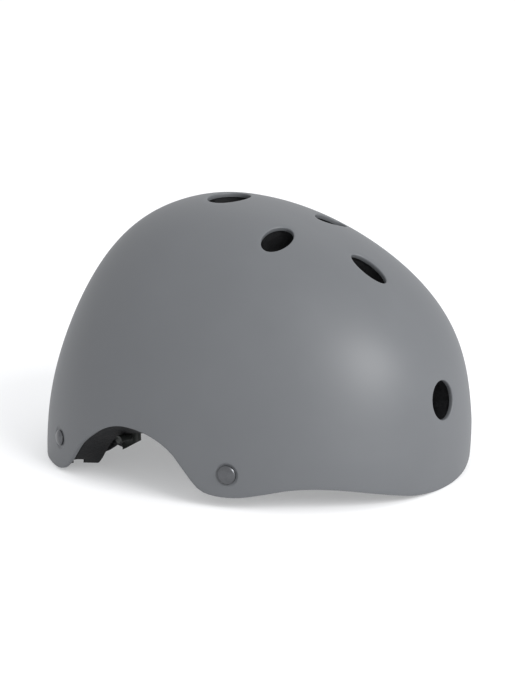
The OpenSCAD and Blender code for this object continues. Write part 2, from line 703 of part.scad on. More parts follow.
// Involute of the pinion's flank
function involute(a) = tan(a) * 180 / PI - a;
function flank_angle(r) = let(
    base = pitch_r * cos(pressure),
    a = r <= base ? 0 : acos(base / r)
  ) 90 / pinion_n - backlash / 2 / pitch_r * 180 / PI + involute(pressure) - involute(a);
module pinion_outline() {
  radii = [root_r, pitch_r - 0.5 * tooth_m, pitch_r, pitch_r + 0.5 * tooth_m, tip_r];
  polygon([for (k = [0 : pinion_n - 1]) let(m = 360 * k / pinion_n + 90)
    for (p = concat([for (r = radii) [r, m - flank_angle(r)]],
                    [for (i = [len(radii) - 1 : -1 : 0]) [radii[i], m + flank_angle(radii[i])]]))
      p[0] * [cos(p[1]), sin(p[1])]]);
}
module fit_pinion() {
  shaft_out = 4.4;
  color(plastic_grey)
    at_dial()
      difference() {
        union() {
          along_x(-rack_half + 0.2, rack_t - 0.4) pinion_outline();
          translate([cradle_back - shaft_out, 0, 0])
            rotate([0, 90, 0]) cylinder(r = shaft_r, h = shaft_out - cradle_back - rack_half + 0.4);
        }
        translate([cradle_back - 5, 0, 0]) rotate([0, 90, 0]) cylinder(r = 1.1, h = 7);
      }
}
dial_near = cradle_back - 0.4;
screw_bore = 1.15;
screw_head_r = 3.2;
socket_deep = 3.9;
module fit_dial() {
  grips = 12;
  grip_r = 2.3;
  color(plastic_black)
    at_dial()
      difference() {
        translate([dial_near - dial_l, 0, 0])
          rotate([0, 90, 0])
            rotate_extrude()
              polygon([[0, 0], [dial_r - 2.2, 0], [dial_r - 0.6, 0.8], [dial_r, 2.4],
                       [dial_r, dial_l - 0.8], [dial_r - 0.8, dial_l], [0, dial_l]]);
        translate([dial_near - socket_deep - 0.4, 0, 0])
          rotate([0, 90, 0]) cylinder(r = shaft_r + running / 2, h = 10);
        translate([dial_near - 30, 0, 0]) rotate([0, 90, 0]) cylinder(r = screw_bore, h = 40);
        translate([dial_near - dial_l - 1, 0, 0])
          rotate([0, 90, 0]) cylinder(r = screw_head_r + 0.4, h = 3.4);
        for (k = [0 : grips - 1])
          rotate([360 * (k + 0.5) / grips, 0, 0])
            translate([dial_near - dial_l - 1, 0, dial_r + 1.1])
              rotate([0, 90, 0]) cylinder(r = grip_r, h = dial_l + 2, $fn = 20);
      }
}
module dial_screw() {
  shank = screw_bore - 0.15;
  color(steel)
    at_dial()
      translate([dial_near - dial_l + 0.9, 0, 0])
        rotate([0, 90, 0])
          rotate_extrude()
            polygon([
              [0, -0.3], [screw_head_r - 0.8, -0.2], [screw_head_r, 0.5], [screw_head_r, 1.4],
              [shank, 1.4], [shank, dial_l - 1.2], [0, dial_l - 1.2]
            ]);
}

// Rack along +Y with its teeth towards -Z, its pitch line at the pinion's pitch radius
module rack() {
  pitch = PI * tooth_m;
  gap = pitch / 4 + backlash / 2;
  slope = tan(pressure);
  first = -floor(rack_in / pitch);
  count = floor(toothed / pitch);
  translate([-rack_half, 0, 0])
    rotate([90, 0, 90])
      linear_extrude(rack_t)
        difference() {
          union() {
            translate([-rack_in, pitch_r - addendum]) square([rack_out + rack_in, rack_depth + addendum]);
            translate([rack_out - rack_end, -band_h / 2])
              square([rack_end, band_h / 2 + pitch_r + rack_depth]);
          }
          for (k = [0 : count])
            translate([(first + k) * pitch, pitch_r])
              polygon([
                [-gap + dedendum * slope, dedendum], [gap - dedendum * slope, dedendum],
                [gap + 1.2 * tooth_m * slope, -1.2 * tooth_m], [-gap - 1.2 * tooth_m * slope, -1.2 * tooth_m]
              ]);
        }
}
module rack_left() { color(plastic_grey) at_dial() rack(); }
module rack_right() { color(plastic_grey) at_dial() rotate([180, 0, 0]) rack(); }

// Fit band from the rack round the nape to its anchor above the ear
module band() {
  route = concat(
    [[-rack_back, rack_out + seat_gap], [-rack_back, rack_out + 2.5]],
    [for (t = band_turns) [band_spot(t)[0], band_spot(t)[1]]],
    [[anchor_x - anchor_l / 2 - seat_gap, anchor_y - 0.3]]
  );
  points = [for (p = route) [p[0], p[1], dial_z]];
  color(plastic_black) ribbon(points, [for (p = route) [0, 0, 1]], band_h, band_t);
}
module band_pin(grow) {
  translate([anchor_x, anchor_y, dial_z + 3])
    rotate([-90, 0, 0]) cylinder(r = 2.4 + grow, h = 12 + grow, $fn = 24);
}
module band_anchor() {
  translate([anchor_x - anchor_l / 2, anchor_y - 2, dial_z - band_h / 2 - 1])
    cube([anchor_l, 3.4, band_h + 2]);
  band_pin(0);
}
module band_anchors() { color(plastic_grey) both_sides() band_anchor(); }

outer_shell();
foam_liner();
comfort_pad(front_pad_area);  // front_pad
left_side() comfort_pad(temple_pad_area);  // temple_pad_left
right_side() comfort_pad(temple_pad_area);  // temple_pad_right
left_side() comfort_pad(side_pad_area);  // side_pad_left
right_side() comfort_pad(side_pad_area);  // side_pad_right
left_side() comfort_pad(crown_pad_area);  // crown_pad_left
right_side() comfort_pad(crown_pad_area);  // crown_pad_right
left_side() comfort_pad(rear_pad_area);  // rear_pad_left
right_side() comfort_pad(rear_pad_area);  // rear_pad_right
hook_patches();
front_rivets();
rear_rivets();
rivet_washers();
front_anchors();
rear_anchors();
left_side() front_strap();  // front_strap_left
right_side() front_strap();  // front_strap_right
left_side() rear_strap();  // rear_strap_left
right_side() rear_strap();  // rear_strap_right
chin_strap_left();
chin_strap_right();
left_side() at_divider() divider();  // divider_left
right_side() at_divider() divider();  // divider_right
left_side() at_divider() cam_lever();  // cam_lever_left
right_side() at_divider() cam_lever();  // cam_lever_right
cam_pins();
buckle_socket();
buckle_plug();
buckle_prongs();
strap_keeper();
nape_cradle();
cradle_cover();
cradle_pad();
fit_dial();
fit_pinion();
dial_screw();
rack_left();
rack_right();
left_side() band();  // band_left
right_side() band();  // band_right
band_anchors();
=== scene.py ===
"""Looks for a round hard-shell bicycle helmet: finishes, soft pieces, webbing, light and camera.

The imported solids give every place. Pieces that need a finer form than the solids are made again
here, in metres and in the same frame: +X is the wearer's front, +Y the wearer's left, +Z up, and
the rim stands on Z = 0.
"""

from __future__ import annotations

import logging
import math
from dataclasses import dataclass, field
from enum import Enum
from typing import Callable, Iterable, Sequence, TypeVar

import bmesh
import bpy
from mathutils import Matrix, Vector

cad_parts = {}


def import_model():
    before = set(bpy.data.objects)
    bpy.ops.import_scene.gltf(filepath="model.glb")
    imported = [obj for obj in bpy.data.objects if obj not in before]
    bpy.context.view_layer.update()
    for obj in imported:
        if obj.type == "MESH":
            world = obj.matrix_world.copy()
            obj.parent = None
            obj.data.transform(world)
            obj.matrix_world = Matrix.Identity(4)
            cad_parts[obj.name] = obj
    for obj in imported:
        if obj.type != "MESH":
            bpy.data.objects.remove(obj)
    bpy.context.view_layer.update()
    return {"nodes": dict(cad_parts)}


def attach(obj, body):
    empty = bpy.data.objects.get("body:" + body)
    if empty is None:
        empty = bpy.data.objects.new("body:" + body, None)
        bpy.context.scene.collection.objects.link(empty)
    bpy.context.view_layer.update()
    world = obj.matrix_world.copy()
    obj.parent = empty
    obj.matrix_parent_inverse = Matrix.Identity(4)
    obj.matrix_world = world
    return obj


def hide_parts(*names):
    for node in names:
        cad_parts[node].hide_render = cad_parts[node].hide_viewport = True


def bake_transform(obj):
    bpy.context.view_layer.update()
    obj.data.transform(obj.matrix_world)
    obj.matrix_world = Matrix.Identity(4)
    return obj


MM = 0.001
STUDIO_WHITE = "#fdfeff"
MIRROR = Matrix.Diagonal((1, -1, 1))
log = logging.getLogger("helmet")

Keys = Sequence[tuple[float, float]]
Profile = Callable[[float], float]
Edges = list[bmesh.types.BMEdge]
Tree = bpy.types.NodeTree
Node = bpy.types.Node
Socket = bpy.types.NodeSocket
Measure = TypeVar("Measure", float, Vector)


class Slot(Enum):
    """The record's material slots."""

    SHELL = "shell_plastic"
    FOAM = "foam"
    PAD = "pad_fabric"
    HOOK = "hook_tape"
    STEEL = "steel"
    BLACK = "black_plastic"
    GREY = "grey_plastic"
    WEBBING = "webbing"


class Side(Enum):
    """The wearer's left and right, as the sign of Y."""

    LEFT = 1
    RIGHT = -1

    def word(self) -> str:
        """The side's name in lower case."""
        return self.name.lower()


def linear(code: str, alpha: float = 1.0) -> tuple[float, float, float, float]:
    """Turns an sRGB hex colour to linear light.

    Args:
        code: Six hex digits after a hash.
        alpha: Opacity.

    Returns:
        Red, green, blue and alpha.
    """
    parts = (int(code[i : i + 2], 16) / 255 for i in (1, 3, 5))
    light = (p / 12.92 if p <= 0.04045 else ((p + 0.055) / 1.055) ** 2.4 for p in parts)
    return (*light, alpha)


def add_node(
    tree: Tree,
    kind: str,
    links: dict[str | int, Socket] | None = None,
    values: dict[str | int, object] | None = None,
    **settings: object,
) -> Node:
    """Adds one node with its settings, input values and links.

    Args:
        tree: The node tree.
        kind: Blender's name of the node type.
        links: Input name or index to the output that feeds it.
        values: Input name or index to its fixed value.
        **settings: Properties of the node.

    Returns:
        The node.
    """
    made = tree.nodes.new(kind)
    for name, value in settings.items():
        setattr(made, name, value)
    for name, value in (values or {}).items():
        made.inputs[name].default_value = value
    for name, source in (links or {}).items():
        tree.links.new(source, made.inputs[name])
    return made


# Finishes


@dataclass(frozen=True)
class Finish:
    """A material made of one principled shader, with a place for its pattern."""

    name: str
    colour: str
    roughness: float = 0.5
    metallic: float = 0.0
    ior: float = 1.5
    gloss: float = 0.5
    sheen: float = 0.0

    def dress(self, tree: Tree, shader: Node) -> None:
        """Adds the pattern that the finish has. The plain finish has none."""

    def material(self) -> bpy.types.Material:
        """The finish as a material, made once.

        Returns:
            The material.
        """
        found = bpy.data.materials.get(self.name)
        if found:
            return found
        made = bpy.data.materials.new(self.name)
        made.use_nodes = True
        tree = made.node_tree
        tree.nodes.clear()
        values = {
            "Base Color": linear(self.colour),
            "Roughness": self.roughness,
            "Metallic": self.metallic,
            "Specular IOR Level": self.gloss,
            "Sheen Weight": self.sheen,
        }
        if not self.metallic:
            values["IOR"] = self.ior
        shader = add_node(tree, "ShaderNodeBsdfPrincipled", values=values)
        self.dress(tree, shader)
        add_node(tree, "ShaderNodeOutputMaterial", {"Surface": shader.outputs["BSDF"]})
        return made


@dataclass(frozen=True, kw_only=True)
class Patterned(Finish):
    """A finish whose pattern moves its colour and roughness, and raises its surface.

    low and high are the colours where the pattern is 0 and 1, and rough is the roughness at both.
    relief is the pattern's height, strength how much of it shows, and sunk turns it inwards.
    """

    low: str
    high: str
    rough: tuple[float, float]
    relief: float = 0.0
    strength: float = 0.5
    sunk: bool = False
    space: str = "Object"

    def pattern(self, tree: Tree, place: Socket) -> tuple[Socket, Socket | None]:
        """Adds the nodes of the pattern.

        Args:
            tree: The node tree.
            place: The point on the piece.

        Returns:
            Its shade and its height, each from 0 to 1, or None where the surface is level.
        """
        raise NotImplementedError

    def dress(self, tree: Tree, shader: Node) -> None:
        """Lets the pattern move the colour, the roughness and the surface.

        Args:
            tree: The node tree.
            shader: The principled shader.
        """
        place = add_node(tree, "ShaderNodeTexCoord")
        shade, height = self.pattern(tree, place.outputs[self.space])
        ramp = add_node(tree, "ShaderNodeValToRGB", {"Fac": shade})
        for stop, code in zip(ramp.color_ramp.elements, (self.low, self.high)):
            stop.color = linear(code)
        tree.links.new(ramp.outputs["Color"], shader.inputs["Base Color"])
        rough = dict(zip(("To Min", "To Max"), self.rough))
        spread = add_node(tree, "ShaderNodeMapRange", {"Value": shade}, rough)
        tree.links.new(spread.outputs["Result"], shader.inputs["Roughness"])
        if height is not None:
            bump = add_node(
                tree,
                "ShaderNodeBump",
                {"Height": height},
                {"Strength": self.strength, "Distance": self.relief},
                invert=self.sunk,
            )
            tree.links.new(bump.outputs["Normal"], shader.inputs["Normal"])


@dataclass(frozen=True)
class MouldedAbs(Patterned):
    """Injection-moulded ABS with a matt paint: even colour, soft sheen, fine pebbled grain."""

    rough: tuple[float, float] = (0.47, 0.55)
    relief: float = 0.012 * MM
    strength: float = 0.35
    cloud: float = 38 * MM
    grain: float = 0.55 * MM

    def pattern(self, tree: Tree, place: Socket) -> tuple[Socket, Socket | None]:
        """Adds slow clouds in the paint and the mould's grain.

        Args:
            tree: The node tree.
            place: The point on the piece.

        Returns:
            The clouds, and the height of the grain.
        """
        clouds = add_node(
            tree,
            "ShaderNodeTexNoise",
            {"Vector": place},
            {"Scale": 1 / self.cloud, "Detail": 3.0, "Roughness": 0.55},
        )
        pebbles = add_node(
            tree,
            "ShaderNodeTexVoronoi",
            {"Vector": place},
            {"Scale": 1 / self.grain},
            feature="SMOOTH_F1",
        )
        return clouds.outputs["Fac"], pebbles.outputs["Distance"]


@dataclass(frozen=True)
class BeadFoam(Patterned):
    """Expanded polystyrene from a closed tool: flat-faced 3 mm beads with fine dark joints."""

    low: str = "#0a0a0c"
    high: str = "#17181a"
    rough: tuple[float, float] = (0.62, 0.8)
    relief: float = 0.16 * MM
    strength: float = 0.6
    gloss: float = 0.25
    bead: float = 3.0 * MM
    joint_share: float = 0.12

    def pattern(self, tree: Tree, place: Socket) -> tuple[Socket, Socket | None]:
        """Adds the beads, each of its own shade, and the joints between them.

        Args:
            tree: The node tree.
            place: The point on the piece.

        Returns:
            The bead's shade, and the height that falls at its joints.
        """
        scale = {"Scale": 1 / self.bead}
        beads = add_node(tree, "ShaderNodeTexVoronoi", {"Vector": place}, scale)
        shade = add_node(tree, "ShaderNodeSeparateColor", {"Color": beads.outputs["Color"]})
        joints = add_node(
            tree, "ShaderNodeTexVoronoi", {"Vector": place}, scale, feature="DISTANCE_TO_EDGE"
        )
        flat = add_node(
            tree,
            "ShaderNodeMapRange",
            {"Value": joints.outputs["Distance"]},
            {"From Max": self.joint_share},
        )
        return shade.outputs["Red"], flat.outputs["Result"]


@dataclass(frozen=True)
class KnitPad(Patterned):
    """Brushed polyester knit over soft foam: fine stitches under a nap that catches light."""

    low: str = "#131416"
    high: str = "#2a2c30"
    rough: tuple[float, float] = (0.8, 0.95)
    relief: float = 0.12 * MM
    strength: float = 0.7
    sheen: float = 0.35
    stitch: float = 0.9 * MM

    def pattern(self, tree: Tree, place: Socket) -> tuple[Socket, Socket | None]:
        """Adds the rows of stitches.

        Args:
            tree: The node tree.
            place: The point on the piece.

        Returns:
            The stitches, as shade and as height.
        """
        rows = add_node(
            tree,
            "ShaderNodeTexWave",
            {"Vector": place},
            {
                "Scale": 1 / self.stitch / math.tau,
                "Distortion": 1.2,
                "Detail": 1.0,
                "Detail Scale": 900.0,
            },
            wave_type="BANDS",
            bands_direction="DIAGONAL",
        )
        loops = add_node(
            tree, "ShaderNodeTexVoronoi", {"Vector": place}, {"Scale": 1 / self.stitch}
        )
        both = add_node(
            tree,
            "ShaderNodeMath",
            {0: rows.outputs["Fac"], 1: loops.outputs["Distance"]},
            operation="MULTIPLY",
        )
        return both.outputs["Value"], both.outputs["Value"]


@dataclass(frozen=True)
class HookTape(Patterned):
    """Woven nylon tape with rows of tiny hooks: dull, with a speckle of hook tips."""

    low: str = "#303236"
    high: str = "#0c0d0e"
    rough: tuple[float, float] = (0.55, 0.85)
    relief: float = 0.3 * MM
    strength: float = 0.8
    sunk: bool = True
    tip: float = 1.1 * MM
    scatter: float = 0.25

    def pattern(self, tree: Tree, place: Socket) -> tuple[Socket, Socket | None]:
        """Adds the hook tips.

        Args:
            tree: The node tree.
            place: The point on the piece.

        Returns:
            Distance from the nearest tip, as shade and as depth.
        """
        tips = add_node(
            tree,
            "ShaderNodeTexVoronoi",
            {"Vector": place},
            {"Scale": 1 / self.tip, "Randomness": self.scatter},
        )
        return tips.outputs["Distance"], tips.outputs["Distance"]


@dataclass(frozen=True)
class PolishedSteel(Patterned):
    """Plated steel from a rivet press: smooth, with faint handling scratches and a soft haze."""

    low: str = "#8f9094"
    high: str = "#c4c5c8"
    rough: tuple[float, float] = (0.2, 0.42)
    scratch: float = 2.4 * MM
    stretch: tuple[float, float, float] = (1.0, 0.18, 1.0)
    turn: tuple[float, float, float] = (0.4, 0.2, 0.9)

    def pattern(self, tree: Tree, place: Socket) -> tuple[Socket, Socket | None]:
        """Adds the haze and the scratches, which leave the surface level.

        Args:
            tree: The node tree.
            place: The point on the piece.

        Returns:
            The haze, and no height.
        """
        drawn = add_node(
            tree,
            "ShaderNodeMapping",
            {"Vector": place},
            {"Scale": self.stretch, "Rotation": self.turn},
        )
        haze = add_node(
            tree,
            "ShaderNodeTexNoise",
            {"Vector": drawn.outputs["Vector"]},
            {"Scale": 1 / self.scratch, "Detail": 6.0, "Roughness": 0.7},
        )
        return haze.outputs["Fac"], None


@dataclass(frozen=True)
class GrainedPlastic(Patterned):
    """Moulded acetal or nylon with a spark-eroded grain: even colour and a low, broken shine."""

    low: str = "#0d0e10"
    high: str = "#191a1d"
    rough: tuple[float, float] = (0.38, 0.52)
    relief: float = 0.03 * MM
    grain: float = 0.4 * MM

    def pattern(self, tree: Tree, place: Socket) -> tuple[Socket, Socket | None]:
        """Adds the grain.

        Args:
            tree: The node tree.
            place: The point on the piece.

        Returns:
            The grain, as shade and as height.
        """
        grain = add_node(
            tree,
            "ShaderNodeTexNoise",
            {"Vector": place},
            {"Scale": 1 / self.grain, "Detail": 2.0, "Roughness": 0.6},
        )
        return grain.outputs["Fac"], grain.outputs["Fac"]


@dataclass(frozen=True)
class Webbing(Patterned):
    """Woven polyester webbing: herringbone ribs along its length, on its UV map in metres."""

    low: str = "#0c0d0f"
    high: str = "#26282c"
    rough: tuple[float, float] = (0.68, 0.86)
    relief: float = 0.16 * MM
    strength: float = 0.7
    space: str = "UV"
    sheen: float = 0.15
    rib: float = 1.1 * MM
    pick: float = 0.8 * MM

    def pattern(self, tree: Tree, place: Socket) -> tuple[Socket, Socket | None]:
        """Adds the herringbone.

        Args:
            tree: The node tree.
            place: The point across and along the strap.

        Returns:
            The ribs, as shade and as height.
        """
        parts = add_node(tree, "ShaderNodeSeparateXYZ", {"Vector": place})
        value, steps = parts.outputs["X"], (
            ("PINGPONG", {}, {1: self.rib * 2}),
            ("ADD", {1: parts.outputs["Y"]}, {}),
            ("MULTIPLY", {}, {1: math.tau / self.pick}),
            ("SINE", {}, {}),
        )
        for operation, links, values in steps:
            step = add_node(
                tree, "ShaderNodeMath", {0: value, **links}, values, operation=operation
            )
            value = step.outputs["Value"]
        level = add_node(
            tree, "ShaderNodeMapRange", {"Value": value}, {"From Min": -1.0, "From Max": 1.0}
        )
        return level.outputs["Result"], level.outputs["Result"]


@dataclass(frozen=True)
class PaleFloor(Finish):
    """Matt white studio board, lit from below so that shadows on it stay pale."""

    gloss: float = 0.1
    glow: float = 0.35

    def dress(self, tree: Tree, shader: Node) -> None:
        """Lights the board."""
        shader.inputs["Emission Color"].default_value = linear(STUDIO_WHITE)
        shader.inputs["Emission Strength"].default_value = self.glow


SHELL_PAINT = MouldedAbs("matt_grey_moulded_abs", "#56585b", low="#535558", high="#595b5e")
LINER_FOAM = BeadFoam("black_moulded_eps_foam", "#0c0c0e", 0.8)
PAD_KNIT = KnitPad("black_brushed_knit", "#1c1d20", 0.9)
HOOKS = HookTape("black_nylon_hook_tape", "#18191b", 0.7)
RIVET_STEEL = PolishedSteel(
    "gunmetal_plated_steel", "#5c5d60", 0.3, 1.0, low="#4b4c4f", high="#6a6b6d"
)
BRIGHT_STEEL = PolishedSteel("nickel_plated_steel", "#a8a9ac", 0.25, 1.0)
BLACK_ACETAL = GrainedPlastic("black_grained_acetal", "#121315", 0.45)
GREY_NYLON = GrainedPlastic(
    "grey_moulded_nylon", "#3c403c", 0.5, low="#343834", high="#444844", rough=(0.45, 0.6)
)
# The grey nylon again, darkened as painted shade for the band anchors, which sit in shade inside
# the ear arch.
SHADED_GREY_NYLON = GrainedPlastic(
    "grey_moulded_nylon_painted_shade", "#222523", 0.5, low="#1c1f1d", high="#282b29", rough=(0.5, 0.65)
)
BLACK_WEBBING = Webbing("black_polyester_webbing", "#17181b", 0.8)


# Curves


def cos_sin(degrees: float) -> tuple[float, float]:
    """Cosine and sine of an angle in degrees."""
    return math.cos(math.radians(degrees)), math.sin(math.radians(degrees))


def between(
    start: Measure, end: Measure, lean_in: Measure, lean_out: Measure, share: float
) -> Measure:
    """Value of the smooth curve between two keys.

    Args:
        start: Value at the first key.
        end: Value at the second key.
        lean_in: Slope at the first key, over the whole step.
        lean_out: The same at the second key.
        share: Share of the step, from 0 to 1.

    Returns:
        The value there.
    """
    square, cube = share * share, share**3
    rise = 3 * square - 2 * cube
    leans = lean_in * (share - 2 * square + cube) + lean_out * (cube - square)
    return start * (1 - rise) + end * rise + leans


def curve_through(keys: Keys, at: float) -> float:
    """Smooth curve through keys, level at both ends.

    Args:
        keys: Position and value of each key, in rising order.
        at: The position.

    Returns:
        The value there.
    """

    def slope(i: int) -> float:
        """Slope at a key.

        Args:
            i: Its place in the row.

        Returns:
            The slope, which is 0 at both ends.
        """
        if i <= 0 or i >= len(keys) - 1:
            return 0.0
        return (keys[i + 1][1] - keys[i - 1][1]) / (keys[i + 1][0] - keys[i - 1][0])

    i = max(j for j in range(len(keys) - 1) if j == 0 or keys[j][0] <= at)
    (first, start), (last, end) = keys[i], keys[i + 1]
    wide = last - first
    return between(start, end, slope(i) * wide, slope(i + 1) * wide, (at - first) / wide)


def signed_power(value: float, power: float) -> float:
    """The value's size raised to a power, with its sign kept."""
    return math.copysign(abs(value) ** power, value)


def hump(angle: float, middle: float, half: float) -> float:
    """A smooth bump that is 1 at the middle and 0 beyond half its width."""
    share = abs(angle - middle) / half
    return 0.0 if share >= 1 else math.cos(math.pi / 2 * share) ** 2


# The dome that every wall follows


@dataclass(frozen=True)
class Outline:
    """One upright outline of the dome: how far it reaches and how it closes in."""

    reach: float
    upright_at: float
    fullness: float
    swell: float
    tuck: float
    tuck_over: float = 60 * MM

    def at(self, height: float, crown: float, depth: float) -> float:
        """Distance of the wall from the dome's axis.

        Args:
            height: Height above the dome's base line.
            crown: Height of the crown at depth 0.
            depth: Depth of the layer below the outer face.

        Returns:
            The distance.
        """
        up = min(1.0, max(0.0, (height - self.upright_at) / (crown - depth - self.upright_at)))
        low = max(0.0, self.upright_at - height) / self.tuck_over
        # 27/4 makes the swell 1 high where it is widest.
        swell = 1 + self.swell * 27 / 4 * up * up * (1 - up)
        close = math.sqrt(max(0.0, 1 - up**self.fullness))
        return (self.reach - depth) * close * swell * (1 - self.tuck * low * low)


@dataclass(frozen=True)
class Spot:
    """An oval place on the wall, with its own axes."""

    centre: Vector
    wide_axis: Vector
    long_axis: Vector
    inward: Vector
    half_wide: float
    half_long: float

    def local(self, point: Vector) -> tuple[float, float, float]:
        """The point along the spot's wide, long and inward axes."""
        way = point - self.centre
        return way.dot(self.wide_axis), way.dot(self.long_axis), way.dot(self.inward)

    def holds(self, point: Vector, margin: float, reach: float) -> bool:
        """Whether the point is within the oval grown by a margin, and near the wall.

        Args:
            point: The point.
            margin: How much the oval grows.
            reach: How far off the wall the point may be.

        Returns:
            True if it is.
        """
        wide, long, deep = self.local(point)
        share = math.hypot(wide / (self.half_wide + margin), long / (self.half_long + margin))
        return share < 1 and abs(deep) < reach

    def rim_point(self, angle: float, margin: float) -> Vector:
        """Point of the oval in the plane of its centre.

        Args:
            angle: Angle round the oval from its wide axis, in radians.
            margin: How much the oval grows.

        Returns:
            The point.
        """
        wide = (self.half_wide + margin) * math.cos(angle)
        long = (self.half_long + margin) * math.sin(angle)
        return self.centre + self.wide_axis * wide + self.long_axis * long

    def matrix(self) -> Matrix:
        """Turns the spot's own frame to the helmet's."""
        turn = Matrix((self.wide_axis, self.long_axis, self.inward)).transposed().to_4x4()
        return Matrix.Translation(self.centre) @ turn

    def mirrored(self) -> Spot:
        """The same spot on the other side of the middle plane."""
        axes = (MIRROR @ v for v in (self.centre, self.wide_axis, self.long_axis, self.inward))
        return Spot(*axes, self.half_wide, self.half_long)


@dataclass(frozen=True)
class Dome:
    """The helmet's dome: three upright outlines, a squarish plan, a lean and a waved rim."""

    front: Outline = Outline(154.5 * MM, 29.7 * MM, 1.6, 0.11, 0.04)
    rear: Outline = Outline(119 * MM, -8.7 * MM, 2.97, -0.1, 0.02)
    side: Outline = Outline(107 * MM, 16.4 * MM, 2.18, -0.02, 0.02)
    crown: float = 157 * MM
    crown_back: float = 18 * MM
    plan_front: float = 2.2
    plan_rear: float = 2.17
    lean: float = 2.6
    rim_keys: Keys = (
        (0, 4), (12, 5.8), (20, 9), (28, 12.3), (36, 15), (44, 16), (51, 14.6), (58, 10.6),
        (64, 7.4), (70, 7), (73.5, 10), (77, 19.5), (80, 28), (84, 34.2), (89, 37.5),
        (94, 36.6), (99, 32.3), (103.5, 26), (108, 18.4), (111, 10.8), (114, 3.4),
        (118, -3), (123, -5.6), (130, -6.6), (140, -7.4), (152, -3.5), (165, 10), (180, 18),
    )
    shift: Vector = Vector((-1.703 * MM, 0, 2.687 * MM))
    search: tuple[float, float] = (-25 * MM, 60 * MM)
    halvings: int = 32
    step_along: float = 1.0
    step_up: float = 0.3 * MM

    def rim(self, longitude: float) -> float:
        """Height of the shell's lower edge over the base line, at a longitude in degrees."""
        return curve_through(self.rim_keys, abs(longitude)) * MM

    def point(self, height: float, longitude: float, depth: float = 0.0) -> Vector:
        """Point of the wall.

        Args:
            height: Height above the base line.
            longitude: Degrees from the front towards the wearer's left.
            depth: Depth below the outer face.

        Returns:
            The point in the helmet's frame.
        """
        turn = math.radians(longitude)
        ahead = math.cos(turn) >= 0
        power = 2 / (self.plan_front if ahead else self.plan_rear)
        outline = self.front if ahead else self.rear
        x = outline.at(height, self.crown, depth) * signed_power(math.cos(turn), power)
        y = self.side.at(height, self.crown, depth) * signed_power(math.sin(turn), power)
        x -= self.crown_back
        c, s = cos_sin(self.lean)
        return Vector((x * c + height * s, y, height * c - x * s)) + self.shift

    def outside(self, point: Vector, depth: float) -> bool:
        """Whether a point is outside the wall's face.

        Args:
            point: The point.
            depth: Depth of the face.

        Returns:
            True if it is.
        """
        p = point - self.shift
        c, s = cos_sin(self.lean)
        x, height = p.x * c - p.z * s + self.crown_back, p.x * s + p.z * c
        if height >= self.crown - depth:
            return True
        outline, power = (self.front, self.plan_front) if x >= 0 else (self.rear, self.plan_rear)
        wide = outline.at(height, self.crown, depth)
        deep = self.side.at(height, self.crown, depth)
        return (abs(x) / wide) ** power + (abs(p.y) / deep) ** power > 1

    def pierce(self, start: Vector, way: Vector, depth: float) -> Vector:
        """Where a line meets the wall's face at a depth.

        Args:
            start: A point near the wall.
            way: Direction into the helmet.
            depth: Depth of the face.

        Returns:
            The point on the face.
        """
        low, high = self.search
        for _ in range(self.halvings):
            middle = (low + high) / 2
            if self.outside(start + way * middle, depth):
                low = middle
            else:
                high = middle
        return start + way * low

    def axes(
        self, height: float, longitude: float, depth: float = 0.0
    ) -> tuple[Vector, Vector, Vector]:
        """Directions at a place on the wall.

        Args:
            height: Height above the base line.
            longitude: Degrees from the front.
            depth: Depth below the outer face.

        Returns:
            Ahead along the wall, up it, and inwards.
        """
        turn, up = self.step_along, self.step_up
        ahead = self.point(height, longitude - turn, depth)
        ahead = (ahead - self.point(height, longitude + turn, depth)).normalized()
        rise = self.point(height + up, longitude, depth) - self.point(height - up, longitude, depth)
        inward = ahead.cross(rise).normalized()
        return ahead, inward.cross(ahead), inward

    def spot(
        self, height: float, longitude: float, turn: float, half_wide: float, half_long: float
    ) -> Spot:
        """An oval place on the wall.

        Args:
            height: Height above the base line.
            longitude: Degrees from the front.
            turn: Turn of the long axis from the meridian, in degrees.
            half_wide: Half its width.
            half_long: Half its length.

        Returns:
            The spot.
        """
        ahead, upward, inward = self.axes(height, longitude)
        c, s = cos_sin(turn)
        wide_axis, long_axis = ahead * c + upward * s, upward * c - ahead * s
        centre = self.point(height, longitude)
        return Spot(centre, wide_axis, long_axis, inward, half_wide, half_long)


DOME = Dome()


# Making a piece


def finish_mesh(bm: bmesh.types.BMesh, name: str, sharp: float = 35.0) -> bpy.types.Object:
    """Makes an object of a bmesh, smooth but for its sharp edges.

    Args:
        bm: The bmesh, which is freed.
        name: Name of the object and its mesh.
        sharp: Angle in degrees past which an edge stays sharp.

    Returns:
        The object, linked to the scene.
    """
    mesh = bpy.data.meshes.new(name)
    bm.to_mesh(mesh)
    bm.free()
    mesh.shade_smooth()
    mesh.set_sharp_from_angle(angle=math.radians(sharp))
    made = bpy.data.objects.new(name, mesh)
    bpy.context.scene.collection.objects.link(made)
    return made


def seat(
    piece: bpy.types.Object,
    body: str | None,
    slot: Slot,
    finish: Finish,
    replaces: Iterable[str] = (),
) -> bpy.types.Object:
    """Gives a piece its finish and its body, and hides the solids that it stands for.

    Args:
        piece: The object.
        body: The body that it rides on, or None for a piece that is left without one.
        slot: The record's slot. Not used.
        finish: Its finish.
        replaces: Names of the solids that it replaces.

    Returns:
        The object.
    """
    piece.data.materials.clear()
    piece.data.materials.append(finish.material())
    if body:
        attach(piece, body)
    if replaces:
        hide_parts(*replaces)
    log.info("%s: %d faces on %s", piece.name, len(piece.data.polygons), body)
    return piece


def cut(piece: bpy.types.Object, tools: Sequence[bpy.types.Object]) -> None:
    """Cuts closed tools out of a piece and deletes them.

    Args:
        piece: The object, whose mesh is replaced by the result.
        tools: The cutting objects.
    """
    for tool in tools:
        modifier = piece.modifiers.new(tool.name, "BOOLEAN")
        modifier.operation = "DIFFERENCE"
        modifier.solver = "EXACT"
        modifier.object = tool
    apply_modifiers(piece)
    for tool in tools:
        bpy.data.objects.remove(tool)


